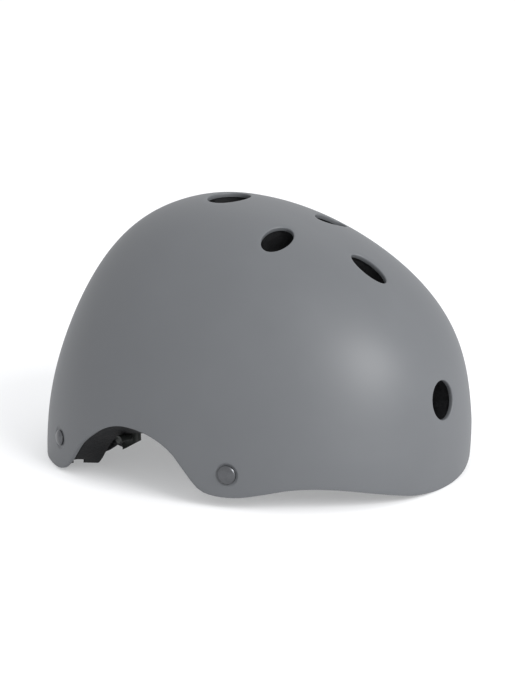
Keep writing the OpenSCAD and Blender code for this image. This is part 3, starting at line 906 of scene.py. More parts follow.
def apply_modifiers(piece: bpy.types.Object) -> None:
    """Gives a piece the mesh that its modifiers make, and clears them.

    Args:
        piece: The object.
    """
    bpy.context.view_layer.update()
    graph = bpy.context.evaluated_depsgraph_get()
    result = bpy.data.meshes.new_from_object(piece.evaluated_get(graph))
    piece.modifiers.clear()
    piece.data = result


def face_outwards(bm: bmesh.types.BMesh) -> None:
    """Turns the faces of a closed mesh outwards, judged by its present shape."""
    bm.normal_update()
    bmesh.ops.recalc_face_normals(bm, faces=bm.faces)


def round_edges(
    bm: bmesh.types.BMesh,
    edges: Iterable[bmesh.types.BMEdge],
    radius: float,
    steps: int,
    clamp: bool = False,
) -> None:
    """Rounds those of some edges that are still there.

    Args:
        bm: The bmesh.
        edges: The edges.
        radius: Radius of the rounding.
        steps: Segments across it.
        clamp: Whether it is held back where two roundings would meet.
    """
    bmesh.ops.bevel(
        bm,
        geom=[e for e in edges if e.is_valid],
        offset=radius,
        offset_type="OFFSET",
        affect="EDGES",
        segments=steps,
        profile=0.5,
        material=-1,
        clamp_overlap=clamp,
    )


# Shell, rivets and liner


@dataclass(frozen=True)
class Rings:
    """Rings of faces round a spot: how far each is from the oval, and how far it sinks there.

    A capped set closes the oval with a face, as a dish, and one that isn't leaves a hole.
    """

    margins: Sequence[float]
    sink: Profile
    capped: bool = False


@dataclass
class WallMaker:
    """Makes a closed wall between two depths of the dome, with oval holes and dishes."""

    around: int = 240
    rows: int = 72
    segments: int = 56
    spare: float = 2.2 * MM
    near: float = 45 * MM
    bm: bmesh.types.BMesh = field(default_factory=bmesh.new)

    def __post_init__(self) -> None:
        """Adds the layer that holds each ring vertex's angle."""
        self.angle = self.bm.verts.layers.float.new("angle")

    def skin(self, depth: float, edge: Profile) -> list[bmesh.types.BMFace]:
        """Lays one face of the wall.

        Args:
            depth: Its depth.
            edge: Height of its lower edge at a longitude.

        Returns:
            Its faces.
        """
        made = bmesh.ops.create_uvsphere(
            self.bm, u_segments=self.around, v_segments=2 * self.rows, radius=1.0
        )
        low = [v for v in made["verts"] if v.co.z < -1e-4]
        bmesh.ops.delete(self.bm, geom=low, context="VERTS")
        kept = [v for v in made["verts"] if v.is_valid]
        for v in kept:
            at_pole = v.co.xy.length <= 1e-6
            longitude = 0.0 if at_pole else math.degrees(math.atan2(v.co.y, v.co.x))
            start = edge(longitude)
            height = start + (DOME.crown - depth - start) * min(1.0, max(0.0, v.co.z))
            v.co = DOME.point(height, longitude, depth)
        return list({f for v in kept for f in v.link_faces})

    def clear(self, faces: list[bmesh.types.BMFace], spot: Spot, skirt: float) -> Edges:
        """Deletes the faces under a spot's skirt.

        Args:
            faces: Faces of the skin. Those that go are taken out of the list.
            spot: The spot.
            skirt: Width of the rings round the spot.

        Returns:
            The edges round the gap.
        """
        grow = skirt + self.spare
        gone = [f for f in faces if spot.holds(f.calc_center_median(), grow, self.near)]
        around = {e for f in gone for e in f.edges}
        dead = set(gone)
        faces[:] = [f for f in faces if f not in dead]
        border = [e for e in around if any(f not in dead for f in e.link_faces)]
        bmesh.ops.delete(self.bm, geom=gone, context="FACES")
        return border

    def ring(self, spot: Spot, depth: float, rings: Rings) -> tuple[Edges, Edges]:
        """Lays rings round a spot on the wall's face, from the inside outwards.

        Args:
            spot: The spot.
            depth: Depth of the face.
            rings: The rings.

        Returns:
            The edges of the first and the last ring.
        """
        circle = bmesh.ops.create_circle(
            self.bm, cap_ends=rings.capped, radius=1.0, segments=self.segments
        )
        verts = circle["verts"]
        edges = list({e for v in verts for e in v.link_edges})
        for v in verts:
            v[self.angle] = math.atan2(v.co.y, v.co.x)
        first = edges
        for i, margin in enumerate(rings.margins):
            if i:
                made = bmesh.ops.extrude_edge_only(self.bm, edges=edges)["geom"]
                verts = [g for g in made if isinstance(g, bmesh.types.BMVert)]
                new = set(verts)
                edges = [g for g in made if isinstance(g, bmesh.types.BMEdge)]
                edges = [e for e in edges if set(e.verts) <= new]
            for v in verts:
                flat = spot.rim_point(v[self.angle], margin)
                face = DOME.pierce(flat, spot.inward, depth)
                v.co = face + spot.inward * rings.sink(margin)
        return first, edges

    def lay(
        self, depth: float, edge: Profile, spots: Sequence[tuple[Spot, Rings]]
    ) -> list[Edges]:
        """Lays one face of the wall with its holes and dishes.

        Args:
            depth: Its depth.
            edge: Height of its lower edge at a longitude.
            spots: Its spots, and the rings round each.

        Returns:
            The edges of its rim, then those of each hole.
        """
        faces = self.skin(depth, edge)
        loops = [list({e for f in faces for e in f.edges if e.is_boundary})]
        for spot, rings in spots:
            border = self.clear(faces, spot, rings.margins[-1])
            first, last = self.ring(spot, depth, rings)
            bmesh.ops.bridge_loops(self.bm, edges=border + last)
            if not rings.capped:
                loops.append(first)
        return loops

    def close(self, outer: list[Edges], inner: list[Edges]) -> None:
        """Joins the outer face to the inner one, at the rim and in every hole.

        Args:
            outer: The loops of the outer face.
            inner: The same of the inner face.
        """
        for one, other in zip(outer, inner):
            bmesh.ops.bridge_loops(self.bm, edges=one + other)
        face_outwards(self.bm)


@dataclass
class Vents:
    """The eleven oval vents: those on the middle line, and those on the wearer's left."""

    half_wide: float = 9.25 * MM
    half_long: float = 11.75 * MM
    centre: Sequence[tuple[float, float, float, float, float]] = (
        (21.6, 0, 0, 1.14, 0.99), (55.2, 0, 0, 0.74, 1.14), (87.5, 180, 0, 1.58, 1.05),
        (60, 180, 0, 1, 1), (26, 180, 0, 1, 1),
    )
    sides: Sequence[tuple[float, float, float, float, float]] = (
        (67.6, 37.0, -37.5, 0.9, 1.1), (44, 163, 0, 1, 1), (22, 158, 0, 1, 1),
    )

    def spot(self, place: tuple[float, float, float, float, float], grow: float) -> Spot:
        """One vent as a spot.

        Args:
            place: Its elevation, longitude and turn in degrees, and its width and length as
                shares of a plain vent's.
            grow: How much wider than the shell's it is.

        Returns:
            The spot.
        """
        elevation, longitude, turn, wide, long = place
        height = DOME.crown * math.sin(math.radians(elevation))
        half_wide, half_long = wide * self.half_wide + grow, long * self.half_long + grow
        return DOME.spot(height, longitude, turn, half_wide, half_long)

    def spots(self, grow: float = 0.0) -> list[Spot]:
        """All vents as spots.

        Args:
            grow: How much wider than the shell's they are.

        Returns:
            The spots.
        """
        middle = [self.spot(place, grow) for place in self.centre]
        left = [self.spot(place, grow) for place in self.sides]
        return middle + left + [spot.mirrored() for spot in left]


@dataclass
class Shell:
    """The moulded outer shell with its vents, and the dishes that the rivets sit in."""

    thick: float = 2.5 * MM
    dish_radius: float = 7.4 * MM
    dish_floor: float = 0.6 * MM
    dish_wall: float = 1.4 * MM
    dish_rings: Sequence[float] = (-3, -1.6, -1.2, -0.8, -0.4, 0, 0.4, 1.2, 2.4)
    vent_sink: float = 0.25 * MM
    vent_skirt: float = 4 * MM
    vent_rings: Sequence[float] = (0, 1.8, 3.2, 4.6, 6)
    lip: float = 0.8 * MM
    inner_lip: float = 0.25 * MM
    rim_lip: float = 0.4 * MM
    collar: float = 0.3 * MM
    collar_wide: float = 0.85 * MM
    collar_rings: Sequence[float] = (0, 0.7, 0.9, 1.8, 3.2, 4.6, 6)
    crease: float = 50.0
    rivets: Sequence[tuple[float, float]] = ((21 * MM, 66.4), (14.4 * MM, 121.4))

    def rivet_spots(self) -> list[Spot]:
        """The four rivet dishes.

        Returns:
            Front and rear on the left, then the same on the right.
        """
        radius = self.dish_radius
        left = [DOME.spot(*place, 0.0, radius, radius) for place in self.rivets]
        return left + [spot.mirrored() for spot in left]

    def vent_fall(self, margin: float) -> float:
        """How far the skin sinks at a distance from a vent's edge."""
        share = max(0.0, 1 - margin / self.vent_skirt)
        return self.vent_sink * share * share

    def collar_fall(self, margin: float) -> float:
        """The same for the inner face, which turns down into a collar in the liner's vent."""
        return self.vent_fall(margin) + (self.collar if margin < self.collar_wide else 0.0)

    def dish_fall(self, margin: float) -> float:
        """How far the skin sinks at a distance from a dish's edge."""
        share = min(1.0, max(0.0, -margin / self.dish_wall))
        return self.dish_floor * share * share * (3 - 2 * share)

    def build(self) -> None:
        """Builds and dresses the shell."""
        maker = WallMaker()
        vents = Vents().spots()
        vent, collar, dish = (
            Rings([m * MM for m in margins], fall, capped)
            for margins, fall, capped in (
                (self.vent_rings, self.vent_fall, False),
                (self.collar_rings, self.collar_fall, False),
                (self.dish_rings, self.dish_fall, True),
            )
        )
        dishes = [(spot, dish) for spot in self.rivet_spots()]
        outer = maker.lay(0.0, DOME.rim, [(spot, vent) for spot in vents] + dishes)
        inner = maker.lay(self.thick, DOME.rim, [(spot, collar) for spot in vents])
        maker.close(outer, inner)
        round_edges(maker.bm, sum(outer[1:], []), self.lip, 4)
        round_edges(maker.bm, sum(inner[1:], []), self.inner_lip, 2)
        round_edges(maker.bm, outer[0] + inner[0], self.rim_lip, 3)
        shell = finish_mesh(maker.bm, "shell_moulding", self.crease)
        seat(shell, "helmet", Slot.SHELL, SHELL_PAINT, ["outer_shell"])


@dataclass
class Rivets:
    """The domed rivets, their tails clenched over the washers inside."""

    front_radius: float = 5.8 * MM
    rear_radius: float = 4.8 * MM
    head_high: float = 2.4 * MM
    head_edge: float = 0.15 * MM
    rolled: float = 0.5 * MM
    flatness: float = 0.9
    seat_depth: float = 0.55 * MM
    shank: float = 2.4 * MM
    tail_radius: float = 4.0 * MM
    tail_depth: float = 7.1 * MM
    tail_high: float = 1.6 * MM
    tail_edge: float = 0.7 * MM
    tail_flat: float = 3.4 * MM
    around: int = 72

    def profile(self, head: float) -> list[tuple[float, float]]:
        """Half outline of a rivet from the middle of its tail to the top of its head.

        Args:
            head: Radius of its head.

        Returns:
            The points as radius and depth.
        """
        seat, low, edge = self.seat_depth, self.tail_depth, self.head_edge
        end, side = low + self.tail_high, low + self.tail_edge
        tail = [(0, end), (self.tail_flat, end), (self.tail_radius, side), (self.tail_radius, low)]
        neck = [(self.shank, low), (self.shank, seat), (head - edge, seat), (head, seat - edge)]
        rise = self.head_high - self.rolled
        turns = [cos_sin(degrees) for degrees in range(0, 90, 6)]
        crown = [(head * c**self.flatness, seat - self.rolled - rise * s) for c, s in turns]
        return tail + neck + crown + [(0, seat - self.head_high)]

    def rivet(self, bm: bmesh.types.BMesh, spot: Spot, head: float) -> None:
        """Adds one rivet to a bmesh.

        Args:
            bm: The bmesh.
            spot: Its dish in the shell.
            head: Radius of its head.
        """
        others = set(bm.verts)
        points = [bm.verts.new((radius, 0, depth)) for radius, depth in self.profile(head)]
        edges = [bm.edges.new(pair) for pair in zip(points, points[1:])]
        bmesh.ops.spin(
            bm,
            geom=points + edges,
            axis=(0, 0, 1),
            cent=(0, 0, 0),
            steps=self.around,
            angle=math.tau,
            use_merge=True,
        )
        new = [v for v in bm.verts if v not in others]
        bmesh.ops.transform(bm, matrix=spot.matrix(), verts=new)

    def build(self) -> None:
        """Builds and dresses the front pair and the rear pair."""
        spots = Shell().rivet_spots()
        pairs = (("front", spots[::2], self.front_radius), ("rear", spots[1::2], self.rear_radius))
        for name, pair, head in pairs:
            bm = bmesh.new()
            for spot in pair:
                self.rivet(bm, spot, head)
            bmesh.ops.remove_doubles(bm, verts=bm.verts, dist=1e-6)
            face_outwards(bm)
            piece = finish_mesh(bm, f"{name}_rivet_pair")
            seat(piece, "helmet", Slot.STEEL, RIVET_STEEL, [f"{name}_rivets"])


@dataclass
class Liner:
    """The foam liner: vents, ear arches, the clearance over the dial and the strap notches."""

    depth: float = 2.8 * MM
    thick: float = 19 * MM
    lift: float = 1.6 * MM
    arch_middle: float = 92
    arch_half: float = 24
    arch_hang: float = 12 * MM
    lobe_middle: float = 113
    lobe_half: float = 13
    lobe_hang: float = 4 * MM
    nape_half: float = 26
    nape_lift: float = 19 * MM
    vent_grow: float = 1 * MM
    vent_flare: float = 2.2 * MM
    flare_wide: float = 6 * MM
    vent_rings: Sequence[float] = (0, 2, 4, 6)
    lip: float = 1.8 * MM
    crease: float = 50.0
    notch_half: float = 9.5 * MM
    notch_top: float = -3 * MM
    pocket_half: float = 13 * MM
    pocket_top: float = 11 * MM
    pocket_deep: float = 12 * MM
    notch_deep: float = 43 * MM
    below: float = 60 * MM
    before: float = -2 * MM

    def outer_edge(self, longitude: float) -> float:
        """Height of the outer face's lower edge at a longitude."""
        nape = self.nape_lift * hump(abs(longitude), 180, self.nape_half)
        return DOME.rim(longitude) + self.lift + nape

    def inner_edge(self, longitude: float) -> float:
        """Height of the inner face's lower edge, which hangs lower in the ear arch.

        Args:
            longitude: Degrees from the front.

        Returns:
            The height.
        """
        hang = self.arch_hang * hump(abs(longitude), self.arch_middle, self.arch_half)
        lobe = self.lobe_hang * hump(abs(longitude), self.lobe_middle, self.lobe_half)
        return self.outer_edge(longitude) - hang - lobe

    def fall(self, margin: float) -> float:
        """How far the inner face draws back round a vent."""
        share = max(0.0, 1 - margin / self.flare_wide)
        return -self.vent_flare * share * share

    def box(self, spot: Spot, half: float, top: float, deep: float) -> bpy.types.Object:
        """A box under a rivet, as a cutting tool.

        Args:
            spot: The rivet's place.
            half: Half its width.
            top: Its top above the rivet.
            deep: How deep it goes into the foam.

        Returns:
            The box.
        """
        front = self.before
        bm = bmesh.new()
        bmesh.ops.create_cube(bm, size=1.0)
        size = Matrix.Diagonal((2 * half, top + self.below, deep - front, 1))
        middle = Matrix.Translation((0, (top - self.below) / 2, (deep + front) / 2))
        bm.transform(spot.matrix() @ middle @ size)
        bmesh.ops.recalc_face_normals(bm, faces=bm.faces)
        return finish_mesh(bm, "notch_tool")

    def build(self) -> None:
        """Builds and dresses the liner."""
        maker = WallMaker(around=200, rows=60)
        margins = [m * MM for m in self.vent_rings]
        level, flare = Rings(margins, lambda margin: 0.0), Rings(margins, self.fall)
        vents = Vents().spots(self.vent_grow)
        outer = maker.lay(self.depth, self.outer_edge, [(spot, level) for spot in vents])
        depth = self.depth + self.thick
        inner = maker.lay(depth, self.inner_edge, [(spot, flare) for spot in vents])
        maker.close(outer, inner)
        round_edges(maker.bm, sum(inner[1:], []), 2 * self.lip, 5)
        round_edges(maker.bm, outer[0] + inner[0], self.lip, 3)
        liner = finish_mesh(maker.bm, "liner_moulding", self.crease)
        tools = []
        for spot in Shell().rivet_spots():
            tools.append(self.box(spot, self.notch_half, self.notch_top, self.notch_deep))
            tools.append(self.box(spot, self.pocket_half, self.pocket_top, self.pocket_deep))
        cut(liner, tools)
        liner.data.set_sharp_from_angle(angle=math.radians(self.crease))
        seat(liner, "helmet", Slot.FOAM, LINER_FOAM, ["foam_liner"])


# Pads


@dataclass(frozen=True)
class Cushion:
    """A sewn pad: it swells as cloth while it lies flat, then takes its stitches and its place."""

    half_wide: float
    half_high: float
    thick: float
    squareness: float = 4.0
    spacing: float = 0.9
    crown_power: int = 4
    back_power: int = 10
    held_share: float = 0.08
    crease: float = 60.0
    seam_level: float = 0.3
    stitch_at: float = 0.84
    stitch_wide: float = 0.035
    stitch_deep: float = 0.9 * MM
    grid: float = 1.1 * MM
    reach: float = 1.2 * MM
    pressure: float = 4.0
    steps: int = 20

    def plan(self, angle: float, radius: float) -> tuple[float, float]:
        """Point of a rounded rectangle's plan.

        Args:
            angle: Angle round its middle, in radians.
            radius: Share of its size.

        Returns:
            The point, as shares of its half width and half height.
        """
        c, s = math.cos(angle), math.sin(angle)
        k = (abs(c) ** self.squareness + abs(s) ** self.squareness) ** (-1 / self.squareness)
        return radius * k * c, radius * k * s

    def share(self, wide: float, high: float) -> float:
        """Share of the plan's size at which a point lies."""
        power = self.squareness
        return (abs(wide) ** power + abs(high) ** power) ** (1 / power)

    def flat(self, name: str) -> bpy.types.Object:
        """Makes the pad's crowned form, drawn in at its edge, lying flat on its back.

        Args:
            name: Its name.

        Returns:
            The form.
        """
        bm = bmesh.new()
        bmesh.ops.create_uvsphere(bm, u_segments=96, v_segments=80, radius=1.0)
        for v in bm.verts:
            radius = min(1.0, v.co.xy.length) ** self.spacing
            wide, high = self.plan(math.atan2(v.co.y, v.co.x), radius)
            seam = self.seam_level
            if v.co.z > 0:
                lift = seam + (1 - seam) * math.sqrt(max(0.0, 1 - radius**self.crown_power))
            else:
                lift = seam * (1 - math.sqrt(max(0.0, 1 - radius**self.back_power)))
            v.co = (wide * self.half_wide, high * self.half_high, lift * self.thick)
        face_outwards(bm)
        return finish_mesh(bm, name, self.crease)

    def swell(self, piece: bpy.types.Object) -> None:
        """Fills the flat pad as cloth under pressure, held where it rests, and smooths it once.

        Args:
            piece: The pad.
        """
        grid = piece.modifiers.new("even grid", "REMESH")
        grid.mode = "VOXEL"
        grid.voxel_size = self.grid
        apply_modifiers(piece)
        before = [v.co.copy() for v in piece.data.vertices]
        rest = piece.vertex_groups.new(name="rest")
        held = self.held_share * self.thick
        rest.add([i for i, co in enumerate(before) if co.z < held], 1.0, "REPLACE")
        cloth = piece.modifiers.new("filling", "CLOTH")
        cloth.settings.use_pressure = True
        cloth.settings.uniform_pressure_force = self.pressure
        cloth.settings.effector_weights.gravity = 0.0
        cloth.settings.vertex_group_mass = rest.name
        cloth.point_cache.frame_start = 1
        cloth.point_cache.frame_end = self.steps
        for step in range(1, self.steps + 1):
            bpy.context.scene.frame_set(step)
        apply_modifiers(piece)
        bpy.context.scene.frame_set(1)
        piece.vertex_groups.clear()
        for v, start in zip(piece.data.vertices, before):
            move = v.co - start
            if move.length > self.reach:
                v.co = start + move.normalized() * self.reach
        piece.modifiers.new("smooth", "SUBSURF").levels = 1
        apply_modifiers(piece)

    def make(self, name: str, place: Callable[[float, float, float], Vector]) -> bpy.types.Object:
        """Makes the pad in its place.

        Args:
            name: Its name.
            place: The point for a share of its half width, one of its half height, and a
                height over its back.

        Returns:
            The pad.
        """
        piece = self.flat(name)
        self.swell(piece)
        bm = bmesh.new()
        bm.from_mesh(piece.data)
        bpy.data.objects.remove(piece)
        for v in bm.verts:
            wide, high, lift = v.co.x / self.half_wide, v.co.y / self.half_high, v.co.z
            if lift > self.seam_level * self.thick:
                off = (self.share(wide, high) - self.stitch_at) / self.stitch_wide
                lift -= self.stitch_deep * math.exp(-off * off)
            v.co = place(wide, high, lift)
        face_outwards(bm)
        return finish_mesh(bm, name, self.crease)


@dataclass(frozen=True)
class PadArea:
    """Where a pad lies: longitudes from and to in degrees, heights from and to in millimetres."""

    name: str
    turn_from: float
    turn_to: float
    low: float
    high: float

    def place(self, wide: float, high: float, depth: float, side: Side) -> Vector:
        """Point over the area.

        Args:
            wide: Share of its half width, from -1 to 1.
            high: Share of its half height, from -1 to 1.
            depth: Depth below the dome's outer face.
            side: The wearer's side that it is on.

        Returns:
            The point.
        """
        turn = (self.turn_from + self.turn_to) / 2 + (self.turn_to - self.turn_from) / 2 * wide
        height = (self.low + self.high) / 2 + (self.high - self.low) / 2 * high
        return DOME.point(height * MM, side.value * turn, depth)

    def halves(self, depth: float) -> tuple[float, float]:
        """Half of the area's real width and height at a depth."""
        middle, right, top = (self.place(*at, depth, Side.LEFT) for at in ((0, 0), (1, 0), (0, 1)))
        return (right - middle).length, (top - middle).length


@dataclass
class Pads:
    """The comfort pads with their sewn edges, and the hook patches that hold them."""

    pad_depth: float = 23.7 * MM
    pad_thick: float = 5.7 * MM
    patch_depth: float = 22.4 * MM
    patch_thick: float = 1.0 * MM
    patch_share: float = 0.55
    patch_steps: int = 16
    middle: PadArea = PadArea("front_pad", -19, 19, 18, 44)
    sides: Sequence[PadArea] = (
        PadArea("temple_pad", 31, 57, 24, 54),
        PadArea("side_pad", 74, 106, 31, 68),
        PadArea("crown_pad", 58, 122, 94, 124),
        PadArea("rear_pad", 126, 150, 44, 72),
    )

    def all_pads(self) -> list[tuple[str, PadArea, Side]]:
        """Every pad's name, area and side."""
        pairs = [(f"{a.name}_{side.word()}", a, side) for a in self.sides for side in Side]
        return [(self.middle.name, self.middle, Side.LEFT)] + pairs

    def patch(self, bm: bmesh.types.BMesh, cushion: Cushion, area: PadArea, side: Side) -> None:
        """Adds one hook patch to a bmesh.

        Args:
            bm: The bmesh.
            cushion: The cushion that it lies under.
            area: Where the cushion lies.
            side: The wearer's side that it is on.
        """
        steps = self.patch_steps
        made = bmesh.ops.create_grid(bm, x_segments=steps, y_segments=steps, size=self.patch_share)
        for v in made["verts"]:
            radius = max(abs(v.co.x), abs(v.co.y))
            wide, high = cushion.plan(math.atan2(v.co.y, v.co.x), radius)
            v.co = area.place(wide, high, self.patch_depth + self.patch_thick / 2, side)
        faces = list({f for v in made["verts"] for f in v.link_faces})
        bmesh.ops.recalc_face_normals(bm, faces=faces)
        bmesh.ops.solidify(bm, geom=faces, thickness=self.patch_thick / 2)

    def build(self) -> None:
        """Builds and dresses the pads and the patches."""
        patches = bmesh.new()
        for name, area, side in self.all_pads():
            cushion = Cushion(*area.halves(self.pad_depth), self.pad_thick)

            def place(wide: float, high: float, lift: float) -> Vector:
                """Point of this pad on the liner's inner face."""
                return area.place(wide, high, self.pad_depth + lift, side)

            pad = cushion.make(f"{name}_cushion", place)
            seat(pad, "helmet", Slot.PAD, PAD_KNIT, [name])
            self.patch(patches, cushion, area, side)
        face_outwards(patches)
        tape = finish_mesh(patches, "hook_tape_patches")
        seat(tape, "helmet", Slot.HOOK, HOOKS, ["hook_patches"])


# Straps and bands


@dataclass(frozen=True)
class Station:
    """One place along a strap: its point and the direction of its width."""

    point: Vector
    across: Vector

    def on(self, side: Side) -> Station:
        """The same place on one of the wearer's sides, from the one on the left."""
        mirrored = Station(MIRROR @ self.point, MIRROR @ self.across)
        return self if side is Side.LEFT else mirrored


@dataclass
class Strap:
    """A flat strap swept along its stations, with rounded edges and its weave's map in metres."""

    name: str
    stations: Sequence[Station]
    width: float
    thick: float
    around: int = 24
    step: float = 1.6 * MM
    squareness: float = 6.0
    crease: float = 60.0

    def smooth(self) -> list[Station]:
        """The stations joined by one smooth curve.

        Returns:
            Stations a step apart.
        """
        keys = [self.stations[0], *self.stations, self.stations[-1]]
        made = []
        for before, a, b, after in zip(keys, keys[1:], keys[2:], keys[3:]):
            lean_in, lean_out = (b.point - before.point) / 2, (after.point - a.point) / 2
            count = max(1, math.ceil((b.point - a.point).length / self.step))
            for share in (k / count for k in range(count)):
                point = between(a.point, b.point, lean_in, lean_out, share)
                made.append(Station(point, a.across.lerp(b.across, share)))
        return made + [keys[-1]]

    def build(self) -> bpy.types.Object:
        """Makes the strap.

        Returns:
            The strap, without a material.
        """
        places = self.smooth()
        count = len(places)
        bm = bmesh.new()
        made = bmesh.ops.create_grid(bm, x_segments=self.around, y_segments=count - 1, size=1.0)
        weave = bm.loops.layers.uv.new("weave")
        lengths = [0.0]
        for one, other in zip(places, places[1:]):
            lengths.append(lengths[-1] + (other.point - one.point).length)
        power = 2 / self.squareness
        for v in made["verts"]:
            turn = math.pi * v.co.x
            i = round((v.co.y + 1) / 2 * (count - 1))
            place = places[i]
            ahead, behind = places[min(i + 1, count - 1)], places[max(i - 1, 0)]
            way = (ahead.point - behind.point).normalized()
            across = (place.across - way * place.across.dot(way)).normalized()
            side = signed_power(math.cos(turn), power) * self.width / 2
            lift = signed_power(math.sin(turn), power) * self.thick / 2
            for loop in v.link_loops:
                loop[weave].uv = (side, lengths[i])
            v.co = place.point + across * side + way.cross(across) * lift
        bmesh.ops.remove_doubles(bm, verts=bm.verts, dist=1e-6)
        bmesh.ops.holes_fill(bm, edges=[e for e in bm.edges if e.is_boundary])
        face_outwards(bm)
        return finish_mesh(bm, self.name, self.crease)


@dataclass
class Harness:
    """The side straps, the chin straps and the fit bands, along the routes of the solids."""

    width: float = 15 * MM
    thick: float = 1.4 * MM
    divider_height: float = 46 * MM
    divider_turn: float = 90
    divider_depth: float = 32.6 * MM
    divider_thick: float = 5 * MM
    slot_steps: Sequence[float] = (-12, -6, 0, 6)
    web_depth: float = 31.6 * MM
    hang_depth: float = 6.5 * MM
    buckle_high: float = 53 * MM
    dial_high: float = 24 * MM
    rack_back: float = 97 * MM
    rack_out: float = 44 * MM
    band_high: float = 12 * MM
    band_thick: float = 1.6 * MM
    band_level: float = 18.5 * MM
    band_depth: float = 25.5 * MM
    band_turns: Sequence[float] = (142, 136, 128.6, 121, 114, 108.4)
    anchor_turn: float = 100
    anchor_long: float = 12 * MM
    anchor_gap: float = 0.3 * MM
    bend: tuple[float, float] = (70 * MM, 38 * MM)
    plug_step: float = 0.8 * MM
    socket: Sequence[tuple[float, float]] = (
        (44, 7.6), (39, 5.2), (36, 4.5), (33, 4.4), (30.2, 4.2), (28.2, 2.6), (27.6, 0),
        (27.6, -2.4),
    )
    plug: Sequence[tuple[float, float]] = (
        (43, 7.6), (27, 4.2), (21, 3.9), (18.2, 3), (17, 0.4), (16.7, -2.2), (15, -3.5),
        (12, -3.5), (10.4, -2.2), (10, 0.6), (10.1, 3.4), (11.6, 5), (15, 5.9), (21, 6.6),
        (27, 7), (43, 10.4),
    )

    def divider_axes(self) -> tuple[Vector, Vector, Vector, Vector]:
        """The left divider's place, and its directions ahead, up and inwards."""
        centre = DOME.point(self.divider_height, self.divider_turn, self.divider_depth)
        return (centre, *DOME.axes(self.divider_height, self.divider_turn, self.divider_depth))

    def at_divider(self, ahead: float, up: float, deep: float) -> Vector:
        """Point in the left divider's own frame, its lengths in millimetres."""
        centre, x, y, z = self.divider_axes()
        return centre + (x * ahead + y * up + z * deep) * MM

    def wall_route(self, route: Sequence[tuple[float, float, float, float]]) -> list[Station]:
        """Stations on the wall.

        Args:
            route: Height in millimetres, longitude, depth in metres, and turn of the width
                from ahead to up.

        Returns:
            The stations.
        """
        made = []
        for height, turn, depth, twist in route:
            ahead, upward, _ = DOME.axes(height * MM, turn, depth)
            c, s = cos_sin(twist)
            made.append(Station(DOME.point(height * MM, turn, depth), ahead * c + upward * s))
        return made

    def slot_route(self, turn: float, ahead: float, up: float) -> list[Station]:
        """Stations through one of the divider's side slots.

        Args:
            turn: Turn of the strap in the divider's plane.
            ahead: Middle of the slot's mouth along the divider.
            up: The same up it.

        Returns:
            The stations.
        """
        c, s = cos_sin(turn)
        middle = self.divider_thick / MM / 2
        _, x, y, _ = self.divider_axes()
        return [
            Station(self.at_divider(ahead + along * c, up + along * s, middle), x * s - y * c)
            for along in self.slot_steps
        ]

    def front_route(self) -> list[Station]:
        """The left front strap, from its anchor to the divider.

        Returns:
            The stations.
        """
        hang, web = self.hang_depth, self.web_depth
        route = [
            (13.5, 66.4, hang, 0), (11.5, 66, hang + 2.5 * MM, 0), (10.6, 65, hang + 8 * MM, 0),
            (11, 64.6, 22 * MM, 0), (13.5, 65.4, 28 * MM, 4), (19.5, 67.8, web + 0.6 * MM, 12),
            (27, 71.6, web + 1.6 * MM, 26),
        ]
        return self.wall_route(route) + self.slot_route(138, 22.5, -8)

    def rear_route(self) -> list[Station]:
        """The left rear strap, from its anchor to the divider.

        Returns:
            The stations.
        """
        hang, web = self.hang_depth, self.web_depth
        route = [
            (6.5, 121.4, hang, 0), (4.5, 121.4, hang + 2.5 * MM, 0), (4, 121.4, hang + 8 * MM, 0),
            (4.5, 121.2, 22 * MM, 0), (7.5, 120.6, 28 * MM, -4), (14, 118, web + 0.8 * MM, -12),
            (23, 112.6, web + 1.6 * MM, -22),
        ]
        return self.wall_route(route) + self.slot_route(34, -22.5, -8)

    def chin_route(self, low: Sequence[tuple[float, float]]) -> list[Station]:
        """A chin strap in the plane across the helmet, from the left divider over its top.

        Args:
            low: Distance from the middle and height over the buckle, in millimetres, past the top.

        Returns:
            The stations.
        """
        middle = self.divider_thick / MM / 2
        start = [self.at_divider(0, up, middle) for up in (6, 13.5, 17)]
        top = [(64.2, 16.4), (61.4, 18.8), (57.4, 19.4), (53.6, 16.6), (49, 11.6)]
        x = start[0].x
        down = [Vector((x, y * MM, self.buckle_high + z * MM)) for y, z in (*top, *low)]
        return [Station(Vector((x, p.y, p.z)), Vector((1, 0, 0))) for p in start + down]

    def band_route(self) -> list[Station]:
        """The left fit band, from its rack round the nape to its anchor.

        Returns:
            The stations.
        """
        ends = [(-self.rack_back, self.rack_out + y * MM) for y in (0.3, 2.5)]
        turns = [DOME.point(self.band_level, turn, self.band_depth) for turn in self.band_turns]
        anchor = DOME.point(self.band_level, self.anchor_turn, self.band_depth)
        gap = self.anchor_gap
        last = (anchor.x - self.anchor_long / 2 - gap, anchor.y - gap)
        flat = [*ends, *((p.x, p.y) for p in turns), last]
        return [Station(Vector((x, y, self.dial_high)), Vector((0, 0, 1))) for x, y in flat]

    def webbing(
        self, name: str, route: Sequence[Station], side: Side, step: float = Strap.step
    ) -> bpy.types.Object:
        """Makes one strap of webbing.

        Args:
            name: Name of the solid that it stands for.
            route: Its stations on the left.
            side: The wearer's side that it is on.
            step: Length of its faces.

        Returns:
            The strap, without a material.
        """
        stations = [station.on(side) for station in route]
        return Strap(f"{name}_webbing", stations, self.width, self.thick, step=step).build()

